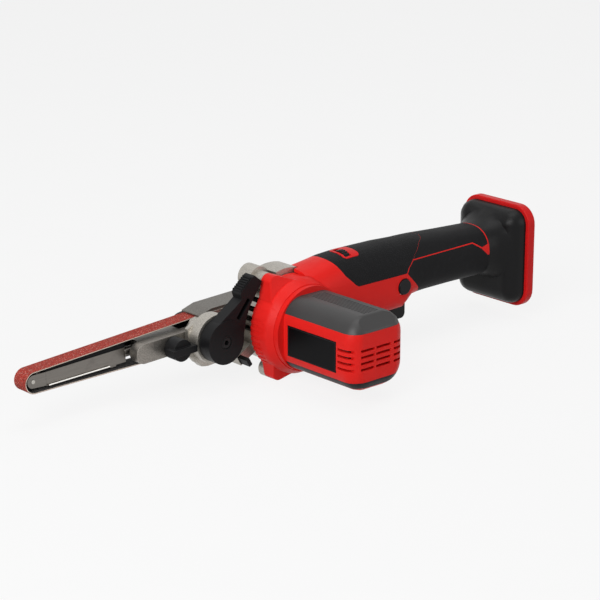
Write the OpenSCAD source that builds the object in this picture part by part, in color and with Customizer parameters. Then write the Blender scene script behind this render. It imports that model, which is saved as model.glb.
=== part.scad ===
// Cordless power file: a narrow abrasive belt on an arm, driven straight from a motor pod.
// Frame: origin at the centre of the battery face, +X out of that face, +Z up.
// The arm points along -X, the motor pod along -Y, and the handle's middle plane is Y = 0.
// Most modules are written about the motor axis, and at_motor() or on_arm() puts them in the frame.

/* [Frame] */
// Distance from the motor axis to the battery face
motor_to_face = 219; // [210:1:235]
// Height of the battery face's centre above the motor axis
face_rise = 10.5; // [8:0.5:13]

/* [Belt drive] */
// Width of the abrasive belt
belt_w = 13; // [12:0.5:16]
// Thickness of the abrasive belt
belt_t = 1; // [0.7:0.1:1.2]
// Gap between the belt and the rollers it runs on
belt_gap = 0.3; // [0.2:0.05:0.4]
// Radius of the drive pulley
pulley_r = 12.2; // [11.5:0.1:12.5]
// Radius of the tip roller
tip_r = 6.4; // [6:0.1:7]
// Distance from the drive pulley's axis to the tip roller's axis
arm_reach = 196; // [185:1:215]
// Downward tilt of the arm in degrees
arm_pitch = 2; // [0:0.5:4]
// Distance of the belt's near edge from the handle's middle plane
belt_y = 28; // [27.8:0.1:30]
// Radius of the pin that carries the tip roller
tip_pin_r = 1.5; // [1.2:0.1:2]
// Travel of the tip when the belt is slackened
slack_travel = 8; // [5:0.5:9]

/* [Arm] */
// Height of the arm bar
bar_h = 14; // [12:0.5:15]
// Near face of the arm bar, measured from the handle's middle plane
bar_y = 19; // [17:0.5:20]
// Reach of the arm bar's round nose as a share of arm_reach
bar_share = 0.607; // [0.59:0.001:0.63]
// Thickness of the arm head's plate
head_t = 5.6; // [4:0.1:5.8]
// Radius of the arm head around the motor axis
head_r = 21; // [19:0.5:21]
// Reach of the arm head's front edge from the motor axis
head_reach = 70; // [68:0.5:72]
// Depth of the arm head under the arm's middle line
head_drop = 27; // [25:0.5:29]
// Radius of the round seat behind the lever
seat_r = 17.3; // [16:0.1:17.5]
// Wall of the belt cover
cover_t = 2; // [1.5:0.1:2.5]

/* [Tension lever] */
// Distance of the lever's pivot from the motor axis
lever_x = 59.3; // [58.5:0.1:60]
// Radius of the lever's hub
lever_hub_r = 15.6; // [14:0.1:16]
// Thickness of the lever
lever_t = 10.5; // [9:0.5:10.5]
// Length of the lever from pivot to thumb end
lever_len = 49.5; // [44:0.5:50]
// Angle of the lever above the arm at rest in degrees
lever_angle = 49; // [49:1:60]
// Radius of the lever's pivot screw
lever_screw_r = 3; // [2.5:0.1:3.4]

/* [Tracking knob] */
// Distance of the knob from the motor axis
knob_x = 88; // [87.5:0.5:96]
// Radius of the knob's hub
knob_r = 7.8; // [7:0.1:8.5]
// Reach of the knob's wings
knob_wing = 10.4; // [9.5:0.1:10.6]

/* [Motor] */
// Wall between the pod's flat sides and the motor can
pod_wall = 3.2; // [3:0.1:4.5]
// Radius of the motor shaft
shaft_r = 3; // [2.5:0.1:3.5]
// Length of the motor pod in front of the collar's back face
pod_len = 93; // [91:1:98]
// Width of the motor pod
pod_w = 50; // [50:0.5:54]
// Height of the motor pod
pod_h = 52.5; // [51:0.5:56]
// Radius of the pod's long edges
pod_edge_r = 16; // [12:0.5:17]
// Radius of the collar
collar_r = 34.5; // [33.5:0.5:35.5]
// Length of the collar's full radius
collar_len = 14; // [12:0.5:16]
// Radius of the slotted front housing
front_r = 31; // [30:0.5:31.5]
// Length of the slotted front housing
front_len = 21; // [20:0.5:21]
// Circle radius of the three housing screws
screw_circle = 37.5; // [37:0.5:38.5]
// Radius of the spigot that the arm turns on
spigot_r = 15; // [14:0.5:16]

/* [Handle] */
// Height of the handle's middle line above the motor axis
handle_z = 17; // [15:0.5:19]
// Height of the rear grip above the handle's middle line
grip_up = 21.5; // [20:0.5:23]
// Depth of the rear grip under the handle's middle line
grip_down = 21.5; // [20:0.5:23]
// Half width of the rear grip
grip_half = 20.5; // [19.5:0.1:20.8]
// Wall of the handle shells
shell_t = 2.6; // [2.2:0.1:3]
// Thickness of the rubber skins
rubber_t = 1.2; // [0.8:0.1:1.5]
// Radius of the speed dial
dial_r = 8.5; // [8.2:0.1:8.6]
// Width of the speed dial
dial_w = 5; // [4.4:0.1:5.4]
// Radius of the lock button
button_r = 5.8; // [5:0.1:6.5]
// Travel of the lock button
button_travel = 2; // [1.5:0.5:3]
// Width of the trigger
trigger_w = 18; // [14:0.5:20]
// Travel of the trigger
trigger_travel = 4; // [3:0.5:5]

/* [Battery foot] */
// Width of the foot
foot_w = 61; // [59:1:66]
// Height of the foot
foot_h = 73; // [68:1:78]
// Length of the foot with its neck and rim
foot_len = 35; // [33:1:38]
// Thickness of the rim around the battery face
rim_t = 7.2; // [6:0.2:8]
// Radius of the foot's corners
foot_r = 11; // [8:0.5:14]

/* [Hidden] */

// Fits and overruns
run_fit = 0.08;
seat_gap = 0.05;
skin_seat = 0.06;
free_gap = 0.4;
shell_seat = 0.15;
over = 1;

$fn = 96;
hull_fn = 32;

// Colours
red = [0.82, 0.13, 0.12];
black = [0.12, 0.12, 0.13];
dark = [0.27, 0.27, 0.27];
silver = [0.70, 0.68, 0.65];
steel = [0.55, 0.54, 0.52];
copper = [0.72, 0.42, 0.24];

// Front housing and the arm's seat on it
housing_wall = 3;
bearing_t = 5;
bearing_r = 11;
front_wall_y = front_len - bearing_t - over;
head_y = front_len + free_gap;
head_far = head_y + head_t;
spigot_end = head_far + seat_gap;
retainer_t = 0.6;
retainer_lap = 1.5;
slot_count = 28;
slot_w = 3.8;
slot_y0 = 3;
slot_margin = 0.5;
slot_y1 = front_wall_y - slot_margin;
slot_clear_angle = 18;
lug_r = 38.4;
lug_angle = 90;
lug_half_angle = 15;
lug_half = lug_r * sin(lug_half_angle);

// Screw bosses round the front housing
low_circle = 35.5;
boss_angle = 120;
low_boss_angle = 243;
long_bosses = [[0, screw_circle], [boss_angle, screw_circle]];
low_boss = [[low_boss_angle, low_circle]];
low_boss_len = 6;
boss_slim_r = 6.2;
boss_r = 9;
boss_y = 8.5;
web_t = 3;
ear_len = 12;
ear_round_len = 9;
ear_root_half = 13;
ear_root_out = 6;
screw_r = 2;
screw_head_r = 3.6;
screw_head_t = 3;

// Index plunger beside the front housing
plunger_angle = 209.5;
plunger_at = 43.6;
plunger_w = 6;
plunger_t = 3;
plunger_out = 3;
plunger_wall = 0.8;
plunger_lug_y = 6;
plunger_lug_far = 16;
kept_angles = concat([for (p = concat(long_bosses, low_boss)) p[0]], [plunger_angle, lug_angle]);

// Motor pod and collar
pod_z = -0.25;
pod_root = 10;
pod_end_r = 10;
pod_end_shares = [[0.62, 0.07], [0.29, 0.29], [0.07, 0.63], [0, 1]];
pod_skin_t = 1.6;
pod_top_z = 16;
pod_low_z = -18.4;
pod_strip_z = -23.6;
pod_cut_down = 8.5;
pod_cut_angle = 48;
collar_face = 24;
collar_nose_len = 6;
collar_nose_r = 31;
collar_step = 0.5;
vent_gap = 2;
vent_rows = 4;
vent_z = -9.8;
vent_pitch = 4.4;
vent_h = 1.8;
vent_in = 4;
vent_wrap = 15;
vent_columns_shares = [[-0.34, -0.10], [-0.066, 0.20], [0.26, 0.42]];
notch_count = 9;
notch_from = 165;
notch_pitch = 7;
notch_d = 0.5;
notch_half = 0.9;
notch_len = 9;
groove_count = 7;
groove_from = -5;
groove_pitch = 2;
groove_t = 0.7;
groove_cut = 1;
groove_end = 10;
name_gap = 4;
name_end = 16.5;
name_y0 = collar_face + name_gap;
name_y1 = pod_len - name_end;
name_z0 = -13;
name_z1 = 9;
name_t = 0.8;

// Motor
can_front = 18;
can_r = min(pod_w, pod_h) / 2 - pod_wall;
can_end = 8;
can_back = pod_len - can_end;
motor_len = can_back - can_front;
can_wall = 1.6;
core_front_share = 0.209;
core_share = 0.418;
coil_share = 0.0896;
comm_share = 0.1194;
magnet_t = 3.3;
air_gap = 1.4;
core_front = can_front + core_front_share * motor_len;
core_len = core_share * motor_len;
core_r = can_r - can_wall - magnet_t - air_gap;
tooth_count = 10;
tooth_d = 5;
tooth_w = 2;
coil_step = 2.5;
coil_len = coil_share * motor_len;
coil_r = core_r - coil_step;
comm_r = 6;
comm_len = comm_share * motor_len;
comm_front = core_front + core_len + coil_len + over;
brush_gap = 0.25;
brush_h = 5;
brush_room = 5.8;
brush_out = can_r - brush_room;
rear_bearing_r = 7;
rear_bearing_t = 4;
magnet_half_angle = 55;
fan_r = 26.5;
fan_y = 3;
fan_t = 10;
blade_count = 12;

// Pieces of the belt loop
belt_far = belt_y + belt_w;
loop_in_pulley = pulley_r + belt_gap;
loop_in_tip = tip_r + belt_gap;
function loop_half(x) = loop_in_pulley + (loop_in_tip - loop_in_pulley) * x / arm_reach;
pulley_near = spigot_end + retainer_t + free_gap;
pulley_far = belt_far - free_gap;
pulley_dish = 4;
nut_r = 5.5;
nut_t = 4;

// Belt cover
cover_gap = 0.8;
cover_in = loop_in_pulley + belt_t + cover_gap;
cover_out = cover_in + cover_t;
cover_far = belt_far + cover_gap;
cover_front = 50.5;
cover_nose_len = 10.5;
cover_fall = 1.8;
cover_tail = 20;
back_plate_t = 2;
plate_nose_r = 11.5;
cover_screw_r = 1.5;
cover_screw_len = 8;

// Arm head outline, in shares of its reach and of its height above or below the middle line
head_shares = [
    [0, 1], [-0.714, 1], [-0.87, 0.86], [-0.94, 0.78], [-1, 0.42], [-1, -0.36],
    [-0.95, -0.66], [-0.88, -0.86], [-0.80, -0.90], [-0.62, -0.88], [-0.45, -0.96], [-0.36, -0.96],
    [-0.12, -0.72]
];
post_r = 3.6;
post_shares = [0.496, 0.779];

// Lever, its round seat and its cam
lever_out = 4;
seat_y = lever_t - lever_out + free_gap;
seat_t = 9.8;
seat_core_r = 10;
flange_shares = [
    [0.55, 0.70], [-0.50, 0.81], [-1.03, 0.55], [-1.04, -0.52], [-0.73, -0.92], [0.55, -0.92]
];
stem_r = 6;
cam_r = 5;
cam_len = 9;
cam_far = head_far + cam_len;
screw_sink = 4;
socket_head_r = 4;
lever_shares = [
    [0.05, 0.97], [0.50, 0.50], [0.62, 0.40], [0.66, 0.60], [0.70, 0.64], [0.97, 0.48],
    [1, 0.42], [1, -0.13], [0.62, -0.20], [0.45, -0.36], [0.15, -0.85]
];
rib_count = 7;
rib_rise = 0.8;
rib_w = 1;
pad_shares = [[0.70, 0.64], [0.93, 0.504]];
channel_from = 18;
channel_to = 34;
channel_low = -1;
channel_high = 2.4;

// Arm bar, as distances from the pulley axis toward the tip
bar_far = belt_y - over;
guide_inset = 2.5;
guide_far = belt_far - guide_inset;
guide_mid_y = (bar_far + guide_far) / 2;
guide_half = 6;
bar_reach = bar_share * arm_reach;
bar_root = max(head_reach, lever_x + stem_r + housing_wall) + seat_gap;
guide_nose = 9;
guide_set = 4;
guide_front = bar_reach - guide_nose;
guide_rear = bar_root + guide_set;
bore_share = 1 / 6;
bore_end = guide_rear + bore_share * (guide_front - guide_rear);
knob_z = -1.2;
knob_hub_y = 8;
knob_wing_y = 5;
knob_wing_t = 5;
knob_stem = 6;
knob_stem_r = 2.5;
spring_wire = 0.5;

// Sliding tip
tongue_r = 3.5;
tongue_share = 2 / 3;
tongue_end = guide_rear + tongue_share * (guide_front - guide_rear);
platen_inset = 2.3;
platen_y = belt_y + platen_inset;
platen_far = guide_far + free_gap;
platen_rear = bar_reach + over;
tip_room = 4;
platen_front = arm_reach - tip_r - tip_room;
platen_high = 4.2;
platen_low = 6.2;
platen_step = 1;
lug_from = 8.4;
lug_to = 13;
lip_out = 1.2;
lip_t = 0.8;
lip_set = 0.25;
tail_t = 1.3;
tail_low = 3.5;
tail_gap = 2.4;
tail_rear = guide_front - slack_travel - guide_set;
pad_gap = 1;
fork_t = 2;
fork_far = belt_far - free_gap;
fork_eye = 4.5;

// Handle shape: rows of along, crown, belly and width shares, and the belly's squareness
handle_shares = [
    [0.00, 0.93, 1.72, 0.98, 4.0],
    [0.09, 1.02, 1.63, 1.02, 4.0],
    [0.17, 1.12, 1.44, 1.03, 4.5],
    [0.25, 1.16, 1.28, 1.03, 5.0],
    [0.34, 1.155, 1.19, 1.03, 5.0],
    [0.45, 1.145, 1.16, 1.02, 5.0],
    [0.505, 1.12, 1.16, 1.005, 5.0],
    [0.53, 1.11, 1.06, 1.00, 4.0],
    [0.56, 1.10, 0.87, 0.995, 3.2],
    [0.61, 1.095, 0.85, 0.985, 2.8],
    [0.66, 1.08, 0.85, 0.98, 2.6],
    [0.81, 0.995, 0.85, 0.98, 2.6],
    [1.00, 0.91, 0.88, 0.98, 2.6]
];
crown_power = 2.4;
ring_n = 32;
handle_front = 6;
handle_rear = motor_to_face - foot_len;
handle_len = handle_rear - handle_front;

// Side outlines of the rubber skins, in shares of the handle's length and of its rear height
front_grip_shares = [
    [0.137, 2.0], [0.139, 1.084], [0.151, 0.949], [0.175, 0.586], [0.225, 0.20], [0.240, 0.13],
    [0.511, 0.116], [0.522, 0.28], [0.571, 0.66], [0.620, 0.935], [0.670, 1.07], [0.680, 2.0]
];
rear_upper_shares = [
    [0.5543, 0.525], [0.909, 0.545], [0.957, 0.315], [0.994, 0.375], [0.994, 2.0], [0.6807, 2.0],
    [0.6707, 1.07], [0.6207, 0.935], [0.5717, 0.66]
];
rear_lower_shares = [
    [0.5155, 0.093], [0.534, -0.065], [0.587, -0.507], [0.607, -0.88], [0.618, -1.7], [1.1, -1.7],
    [1.1, -0.005], [0.99, -0.005], [0.953, 0.275], [0.905, 0.510], [0.5535, 0.49], [0.551, 0.47],
    [0.5265, 0.28]
];

// Controls on the handle, about the motor axis
dial_x = 48.4;
dial_y = -2.8;
dial_z = 34.3;
dial_pin_r = 1.5;
knurl_count = 24;
knurl_w = 1;
bezel_x = 51;
bezel_y = -2.8;
bezel_w = 15;
bezel_d = 18;
bezel_r = 3;
bezel_rise = 0.25;
bezel_gap = 0.12;
window_w = dial_w + 2 * free_gap;
window_front = -10.4;
window_back = 3.9;
button_x = 94.2;
button_z = 10.2;
button_out = 22.2;
trigger_front = 62;
trigger_rear = 107;
trigger_low = -18.5;
trigger_high = -1;
trigger_edge = 4;
switch_low = trigger_high + trigger_travel + 2 * over;
switch_high = 24;
switch_front = 66;
switch_rear = 100;
switch_half = 9;
lock_room = 1.6;
lock_wire = 0.3;
button_len = button_out - switch_half - button_travel - lock_room;
rib_t = 2;
rib_shares = [0.36, 0.44];
board_t = 1.6;
board_half = 11;
board_rear = 150;
lead_r = 1.4;
lead_y = 6;
lead_z = 12;
shell_screw_shares = [[0.32, 0.62], [0.63, -0.55], [0.93, 0.05]];
shell_boss_r = 3.8;
shell_screw_r = 1.4;
shell_screw_len = 9;
shell_screw_gap = 0.1;
shell_head_r = 2.9;
shell_head_t = 2;
shell_head_sink = 5;
shell_head_y = grip_half - shell_head_sink;

// Battery foot, about the motor axis
neck_len = 14.5;
neck_shares = [[0, 0], [0.3, 0.14], [0.55, 0.38], [0.78, 0.70], [1, 1]];
neck_flare = 9;
foot_front = handle_rear + neck_len;
foot_back = motor_to_face - rim_t;
foot_round = 11;
foot_wall = 3;
lead_way_r = 10;
rim_out = 3;
rim_in = 4;
plate_t = 9.4;
groove_w = 8;
groove_d = 6;
tongue_w = 32;
blade_w = 1;
blade_h = 16;
blade_pitch = 10;
pocket_edge = 3;
terminal_z = -8;

module at_motor() {
    translate([-motor_to_face, 0, -face_rise]) children();
}

// Puts a piece on the tilted arm: -X points from the pulley to the tip
module on_arm() {
    at_motor() rotate([0, -arm_pitch, 0]) children();
}

// Round bar along Y
module rod(y0, y1, r) {
    translate([0, y0, 0]) rotate([-90, 0, 0]) cylinder(h = y1 - y0, r = r);
}

// Round bar along X
module bar_x(x0, x1, r) {
    translate([x0, 0, 0]) rotate([0, 90, 0]) cylinder(h = x1 - x0, r = r);
}

// Slab along Y of an outline drawn in X and Z
module slab(y0, y1) {
    translate([0, y1, 0]) rotate([90, 0, 0]) linear_extrude(y1 - y0) children();
}

// Box between two corners
module block(a, b) {
    translate(a) cube(b - a);
}

module tube(y0, y1, r_out, r_in) {
    difference() {
        rod(y0, y1, r_out);
        rod(y0 - over, y1 + over, r_in);
    }
}

// Copies onto housing screws, given as angle and distance from the motor axis
module at_bosses(places = concat(long_bosses, low_boss)) {
    for (p = places) rotate([0, -p[0], 0]) translate([p[1], 0, 0]) children();
}

// Wound spring along +Z, swept as one tube
function coil_point(r, wire, length, turns, t) =
    [r * cos(360 * turns * t), r * sin(360 * turns * t), wire + (length - 2 * wire) * t];
module coil(r, wire, length, turns) {
    sides = 6;
    rings = 8 * turns;
    points = [
        for (i = [0:rings], k = [0:sides - 1])
            let (
                a = 360 * turns * i / rings,
                p = coil_point(r, wire, length, turns, i / rings),
                b = 360 * k / sides
            )
            p + wire * [cos(b) * cos(a), cos(b) * sin(a), sin(b)]
    ];
    skin = [
        for (i = [0:rings - 1], k = [0:sides - 1])
            let (n = (k + 1) % sides, a = i * sides, b = a + sides)
            each [[a + k, b + k, b + n], [a + k, b + n, a + n]]
    ];
    first = [for (k = [1:sides - 2]) [0, k, k + 1]];
    end = rings * sides;
    last = [for (k = [1:sides - 2]) [end, end + k + 1, end + k]];
    polyhedron(points, concat(skin, first, last), convexity = 4);
}

// Motor pod

module pod_outline(d) {
    translate([0, pod_z])
        offset(r = pod_edge_r + d, $fn = hull_fn)
            square([pod_w - 2 * pod_edge_r, pod_h - 2 * pod_edge_r], center = true);
}

// Pod with a rounded end and a slope at its top, grown by d
module pod_solid(d) {
    difference() {
        hull() {
            slab(-pod_len + pod_end_r, -pod_root) pod_outline(d);
            for (k = pod_end_shares)
                slab(-pod_len - d + k[0] * pod_end_r, -pod_len + pod_end_r)
                    pod_outline(d - k[1] * pod_end_r);
        }
        translate([0, -pod_len - d, pod_h / 2 - pod_cut_down]) rotate([pod_cut_angle, 0, 0])
            block([-pod_w, -pod_h, 0], [pod_w, pod_h, pod_h]);
    }
}

module pod_skin(z0, z1) {
    intersection() {
        difference() {
            pod_solid(0);
            pod_solid(-pod_skin_t);
        }
        block([-pod_w, -pod_len - over, z0], [pod_w, -collar_face, z1]);
    }
}

// Sloped front of the collar, grown by d
module collar_nose(d) {
    translate([0, -collar_len, 0]) rotate([90, 0, 0])
        cylinder(h = collar_nose_len, r1 = collar_r + d, r2 = collar_nose_r + d);
}

// Boss of the collar round a housing screw, sloped down into the collar
module ear() {
    hull() {
        rod(-ear_round_len, -seat_gap, boss_slim_r, $fn = hull_fn);
        block([-2 * ear_root_out, -collar_len + over / 2, -ear_root_half],
              [-ear_root_out, -over / 2, ear_root_half]);
    }
}

module motor_housing() {
    color(red) at_motor() difference() {
        union() {
            rod(-collar_len, 0, collar_r);
            collar_nose(0);
            rod(-collar_face, -collar_len, collar_nose_r - collar_step);
            at_bosses([long_bosses[0]]) rod(-ear_len, -seat_gap, boss_slim_r);
            at_bosses([long_bosses[1], low_boss[0]]) ear();
            pod_solid(0);
        }
        rod(-can_back - vent_gap, over, can_r + seat_gap);
        at_bosses() rod(-ear_len + housing_wall, over, screw_r + seat_gap);
        // Seats of the pod's rubber skins
        difference() {
            block([-pod_w, -pod_len - over, pod_top_z], [pod_w, -collar_face, pod_h]);
            pod_solid(-pod_skin_t - skin_seat);
        }
        difference() {
            block([-pod_w, -pod_len - over, pod_strip_z], [pod_w, -collar_face, pod_low_z]);
            pod_solid(-pod_skin_t - skin_seat);
        }
        block([-pod_w, -name_y1 - skin_seat, name_z0 - skin_seat],
              [-pod_w / 2 + name_t + skin_seat, -name_y0 + skin_seat, name_z1 + skin_seat]);
        // Vent slots round the pod's corner and across its end
        for (i = [0:vent_rows - 1])
            translate([0, 0, vent_z + i * vent_pitch]) {
                block([-pod_w, -pod_len - over, 0], [-pod_w / 2 + vent_in, -pod_len + vent_wrap, vent_h]);
                for (c = vent_columns_shares)
                    block([c[0] * pod_w, -pod_len - over, 0], [c[1] * pod_w, -can_back, vent_h]);
            }
        // Small notches along the collar's back edge
        for (i = [0:notch_count - 1])
            rotate([0, -notch_from - i * notch_pitch, 0])
                block([collar_r - notch_d, -notch_len, -notch_half], [collar_r + over, over, notch_half]);
    }
}

module pod_top_grip() {
    color(dark) at_motor() difference() {
        pod_skin(pod_top_z + skin_seat, pod_h);
        for (i = [0:groove_count - 1])
            translate([groove_from + i * groove_pitch, 0, 0])
                block([0, -pod_len + groove_end, pod_z + pod_h / 2 - groove_t],
                      [groove_cut, -collar_face - groove_end / 2, pod_h]);
    }
}

module pod_lower_strip() {
    color(black) at_motor() pod_skin(pod_strip_z + skin_seat, pod_low_z - skin_seat);
}

module name_plate() {
    color(black) at_motor()
        block([-pod_w / 2 - skin_seat, -name_y1, name_z0], [-pod_w / 2 + name_t, -name_y0, name_z1]);
}

// Aluminium housing in front of the collar

function turn_gap(a, b) = abs((a - b + 540) % 360 - 180);

module front_housing() {
    color(silver) at_motor() difference() {
        union() {
            rod(0, front_len, front_r);
            rod(front_len - over, spigot_end, spigot_r);
            at_bosses(long_bosses) {
                rod(0, front_len, boss_slim_r);
                rod(boss_y, front_len, boss_r);
                block([-boss_r, 0, -web_t], [0, front_len, web_t]);
            }
            at_bosses(low_boss) {
                rod(0, low_boss_len, boss_slim_r);
                block([-boss_r, 0, -web_t], [0, low_boss_len, web_t]);
            }
            arch_lug();
            rotate([0, -plunger_angle, 0])
                block([front_r - housing_wall, plunger_lug_y, -plunger_w / 2 - plunger_wall],
                      [plunger_at + plunger_t / 2 + plunger_wall, plunger_lug_far,
                       plunger_w / 2 + plunger_wall]);
        }
        rod(-over, front_wall_y, front_r - housing_wall);
        rod(front_wall_y - over, front_wall_y + bearing_t, bearing_r + seat_gap);
        rod(0, spigot_end + over, 2 * shaft_r);
        at_bosses(long_bosses) screw_way(front_len);
        at_bosses(low_boss) screw_way(low_boss_len);
        rotate([0, -plunger_angle, 0])
            block([plunger_at - plunger_t / 2 - free_gap, 0, -plunger_w / 2 - free_gap],
                  [plunger_at + plunger_t / 2 + free_gap, front_len, plunger_w / 2 + free_gap]);
        for (i = [0:slot_count - 1])
            let (a = i * 360 / slot_count)
                if (min([for (b = kept_angles) turn_gap(a, b)]) > slot_clear_angle)
                    rotate([0, -a, 0])
                        block([front_r - housing_wall - over, slot_y0, -slot_w / 2],
                              [front_r + over, slot_y1, slot_w / 2]);
    }
}

// Arched lug on top of the housing
module arch_lug() {
    intersection() {
        rod(over, front_len - over, lug_r);
        slab(0, front_len)
            polygon([[0, 0], [2 * lug_half, 2 * lug_r * cos(lug_half_angle)],
                     [-2 * lug_half, 2 * lug_r * cos(lug_half_angle)]]);
    }
}

// Hole and sunk head seat of a housing screw in a boss that ends at y
module screw_way(y) {
    rod(-over, y + over, screw_r + seat_gap);
    rod(y - screw_head_t, y + over, screw_head_r + seat_gap);
}

module housing_screw(y) {
    rod(-ear_len + housing_wall + over, y - screw_head_t, screw_r);
    difference() {
        rod(y - screw_head_t, y - free_gap, screw_head_r);
        translate([0, y - screw_head_t / 2, 0]) rotate([-90, 0, 0])
            cylinder(h = screw_head_t, r = screw_r, $fn = 6);
    }
}

module housing_screws() {
    color(steel) at_motor() {
        at_bosses(long_bosses) housing_screw(front_len);
        at_bosses(low_boss) housing_screw(low_boss_len);
    }
}

// Motor, fixed parts

module motor_can() {
    color(steel) at_motor() difference() {
        union() {
            difference() {
                rod(-can_back, -can_front, can_r);
                rod(-can_back + can_wall, -can_front + over, can_r - can_wall);
            }
            rod(-can_back, -can_back + can_wall + rear_bearing_t, rear_bearing_r + can_wall);
        }
        rod(-can_back + can_wall, -can_front, rear_bearing_r + seat_gap);
        rod(-can_back - over, -can_front, shaft_r + free_gap);
    }
}

module magnets() {
    color(dark) at_motor() for (side = [0, 180]) rotate([0, side, 0]) intersection() {
        tube(-core_front - core_len - over, -core_front + over,
             can_r - can_wall - seat_gap, can_r - can_wall - magnet_t);
        for (m = [0, 1]) mirror([0, 0, m])
            slab(-can_back, 0)
                polygon([[0, 0], [2 * can_r * cos(magnet_half_angle), 2 * can_r * sin(magnet_half_angle)],
                         [2 * can_r, 0]]);
    }
}

module brush_plate() {
    color(black) at_motor() difference() {
        union() {
            tube(-comm_front - comm_len, -comm_front - comm_len + over,
                 can_r - can_wall - seat_gap, rear_bearing_r + 2 * can_wall);
            for (side = [0, 180]) rotate([0, side, 0])
                block([comm_r + over, -comm_front - comm_len, -brush_h / 2 - can_wall],
                      [brush_out + can_wall, -comm_front - brush_gap, brush_h / 2 + can_wall]);
        }
        for (side = [0, 180]) rotate([0, side, 0])
            block([0, -comm_front - comm_len + over, -brush_h / 2 - seat_gap],
                  [brush_out + seat_gap, -comm_front - brush_gap - over, brush_h / 2 + seat_gap]);
    }
}

module carbon_brushes() {
    color(dark) at_motor() for (side = [0, 180]) rotate([0, side, 0])
        difference() {
            block([comm_r, -comm_front - comm_len + over + seat_gap, -brush_h / 2],
                  [brush_out, -comm_front - brush_gap - over - seat_gap, brush_h / 2]);
            rod(-can_back, 0, comm_r + brush_gap);
        }
}

module rear_bearing() {
    color(steel) at_motor()
        tube(-can_back + can_wall + seat_gap, -can_back + can_wall + rear_bearing_t, rear_bearing_r,
             shaft_r + run_fit);
}

module front_bearing() {
    color(steel) at_motor() tube(front_wall_y, front_wall_y + bearing_t, bearing_r, shaft_r + run_fit);
}

// Motor, turning parts

module motor_shaft() {
    color(steel) at_motor() rod(-can_back, pulley_far + over, shaft_r);
}

module armature_core() {
    color(steel) at_motor() difference() {
        rod(-core_front - core_len, -core_front, core_r);
        rod(-can_back, 0, shaft_r + seat_gap);
        for (a = [0:360 / tooth_count:359]) rotate([0, a, 0])
            block([core_r - tooth_d, -can_back, -tooth_w / 2], [core_r + over, 0, tooth_w / 2]);
    }
}

module armature_windings() {
    color(copper) at_motor() {
        tube(-core_front, -core_front + coil_len, coil_r, shaft_r + seat_gap);
        tube(-core_front - core_len - coil_len, -core_front - core_len, coil_r, shaft_r + seat_gap);
    }
}

module commutator() {
    color(copper) at_motor() tube(-comm_front - comm_len, -comm_front, comm_r, shaft_r + seat_gap);
}

module cooling_fan() {
    color(black) at_motor() difference() {
        union() {
            rod(fan_y, fan_y + over, fan_r);
            rod(fan_y + over / 2, fan_y + fan_t, 2 * shaft_r);
            for (i = [0:blade_count - 1]) rotate([0, i * 360 / blade_count, 0])
                block([1.5 * shaft_r, fan_y + over / 2, -over / 2],
                      [fan_r - over, fan_y + fan_t - over, over / 2]);
        }
        rod(0, front_len, shaft_r + seat_gap);
    }
}

module drive_pulley() {
    color(steel) at_motor() difference() {
        rod(pulley_near, pulley_far, pulley_r);
        rod(0, 2 * belt_far, shaft_r + seat_gap);
        rod(pulley_far - pulley_dish, pulley_far + over, pulley_r - housing_wall);
    }
}

module pulley_nut() {
    color(steel) at_motor() difference() {
        translate([0, pulley_far - pulley_dish, 0]) rotate([-90, 0, 0])
            cylinder(h = nut_t, r = nut_r, $fn = 6);
        rod(0, 2 * belt_far, shaft_r + seat_gap);
    }
}

// Arm, fixed to the swivelling head

function head_point(s) = [s[0] * head_reach, s[1] * (s[1] > 0 ? cover_in : head_drop)];

module arm_head() {
    color(silver) on_arm() difference() {
        union() {
            rod(head_y, head_far, head_r);
            slab(head_y, head_far) polygon([for (s = head_shares) head_point(s)]);
            translate([-lever_x, 0, 0]) {
                rod(seat_y, seat_y + seat_t, seat_r);
                rod(seat_y + over, head_y + over, seat_core_r);
                slab(seat_y + seat_t - over, bar_y - seat_gap)
                    polygon([for (s = flange_shares) s * seat_r]);
            }
            for (s = post_shares) translate([-s * lever_x, 0, 0]) rod(head_far - over, cover_far, post_r);
        }
        rod(head_y - over, head_far + over, spigot_r + run_fit);
        translate([-lever_x, 0, 0]) rod(0, head_far + over, stem_r + run_fit);
        for (s = post_shares) translate([-s * lever_x, 0, 0])
            rod(cover_far - cover_screw_len, cover_far + over, cover_screw_r + seat_gap);
    }
}

module arm_retainer() {
    color(steel) at_motor() tube(spigot_end, spigot_end + retainer_t, spigot_r + retainer_lap, 2 * shaft_r);
}

module belt_cover() {
    color(dark) on_arm() difference() {
        union() {
            block([-cover_front, head_far, cover_in], [0, cover_far, cover_out]);
            block([-cover_front, head_y + over, cover_in], [-head_r - over, head_far, cover_out]);
            slab(head_y + over, cover_far)
                polygon([[-cover_front, cover_in], [-cover_front - cover_nose_len, cover_in - cover_fall],
                         [-cover_front - cover_nose_len, cover_in - cover_fall + cover_t / 2],
                         [-cover_front, cover_out]]);
            difference() {
                rod(head_far, cover_far, cover_out);
                rod(0, 2 * cover_far, cover_in);
                block([-2 * cover_out, 0, -2 * cover_out], [0, 2 * cover_far, 2 * cover_out]);
            }
            block([-cover_tail, head_far, -cover_out], [0, cover_far, -cover_in]);
        }
        rod(0, pulley_near, spigot_r + retainer_lap + free_gap);
    }
}

module cover_back_plate() {
    color(black) on_arm() difference() {
        slab(cover_far, cover_far + back_plate_t) hull() {
            circle(r = cover_out, $fn = 2 * hull_fn);
            translate([-cover_front - cover_nose_len, 0]) circle(r = plate_nose_r, $fn = 2 * hull_fn);
        }
        rod(0, 2 * cover_far, nut_r + over);
        for (s = post_shares)
            translate([-s * lever_x, 0, 0]) rod(0, 2 * cover_far, cover_screw_r + seat_gap);
    }
}

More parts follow.
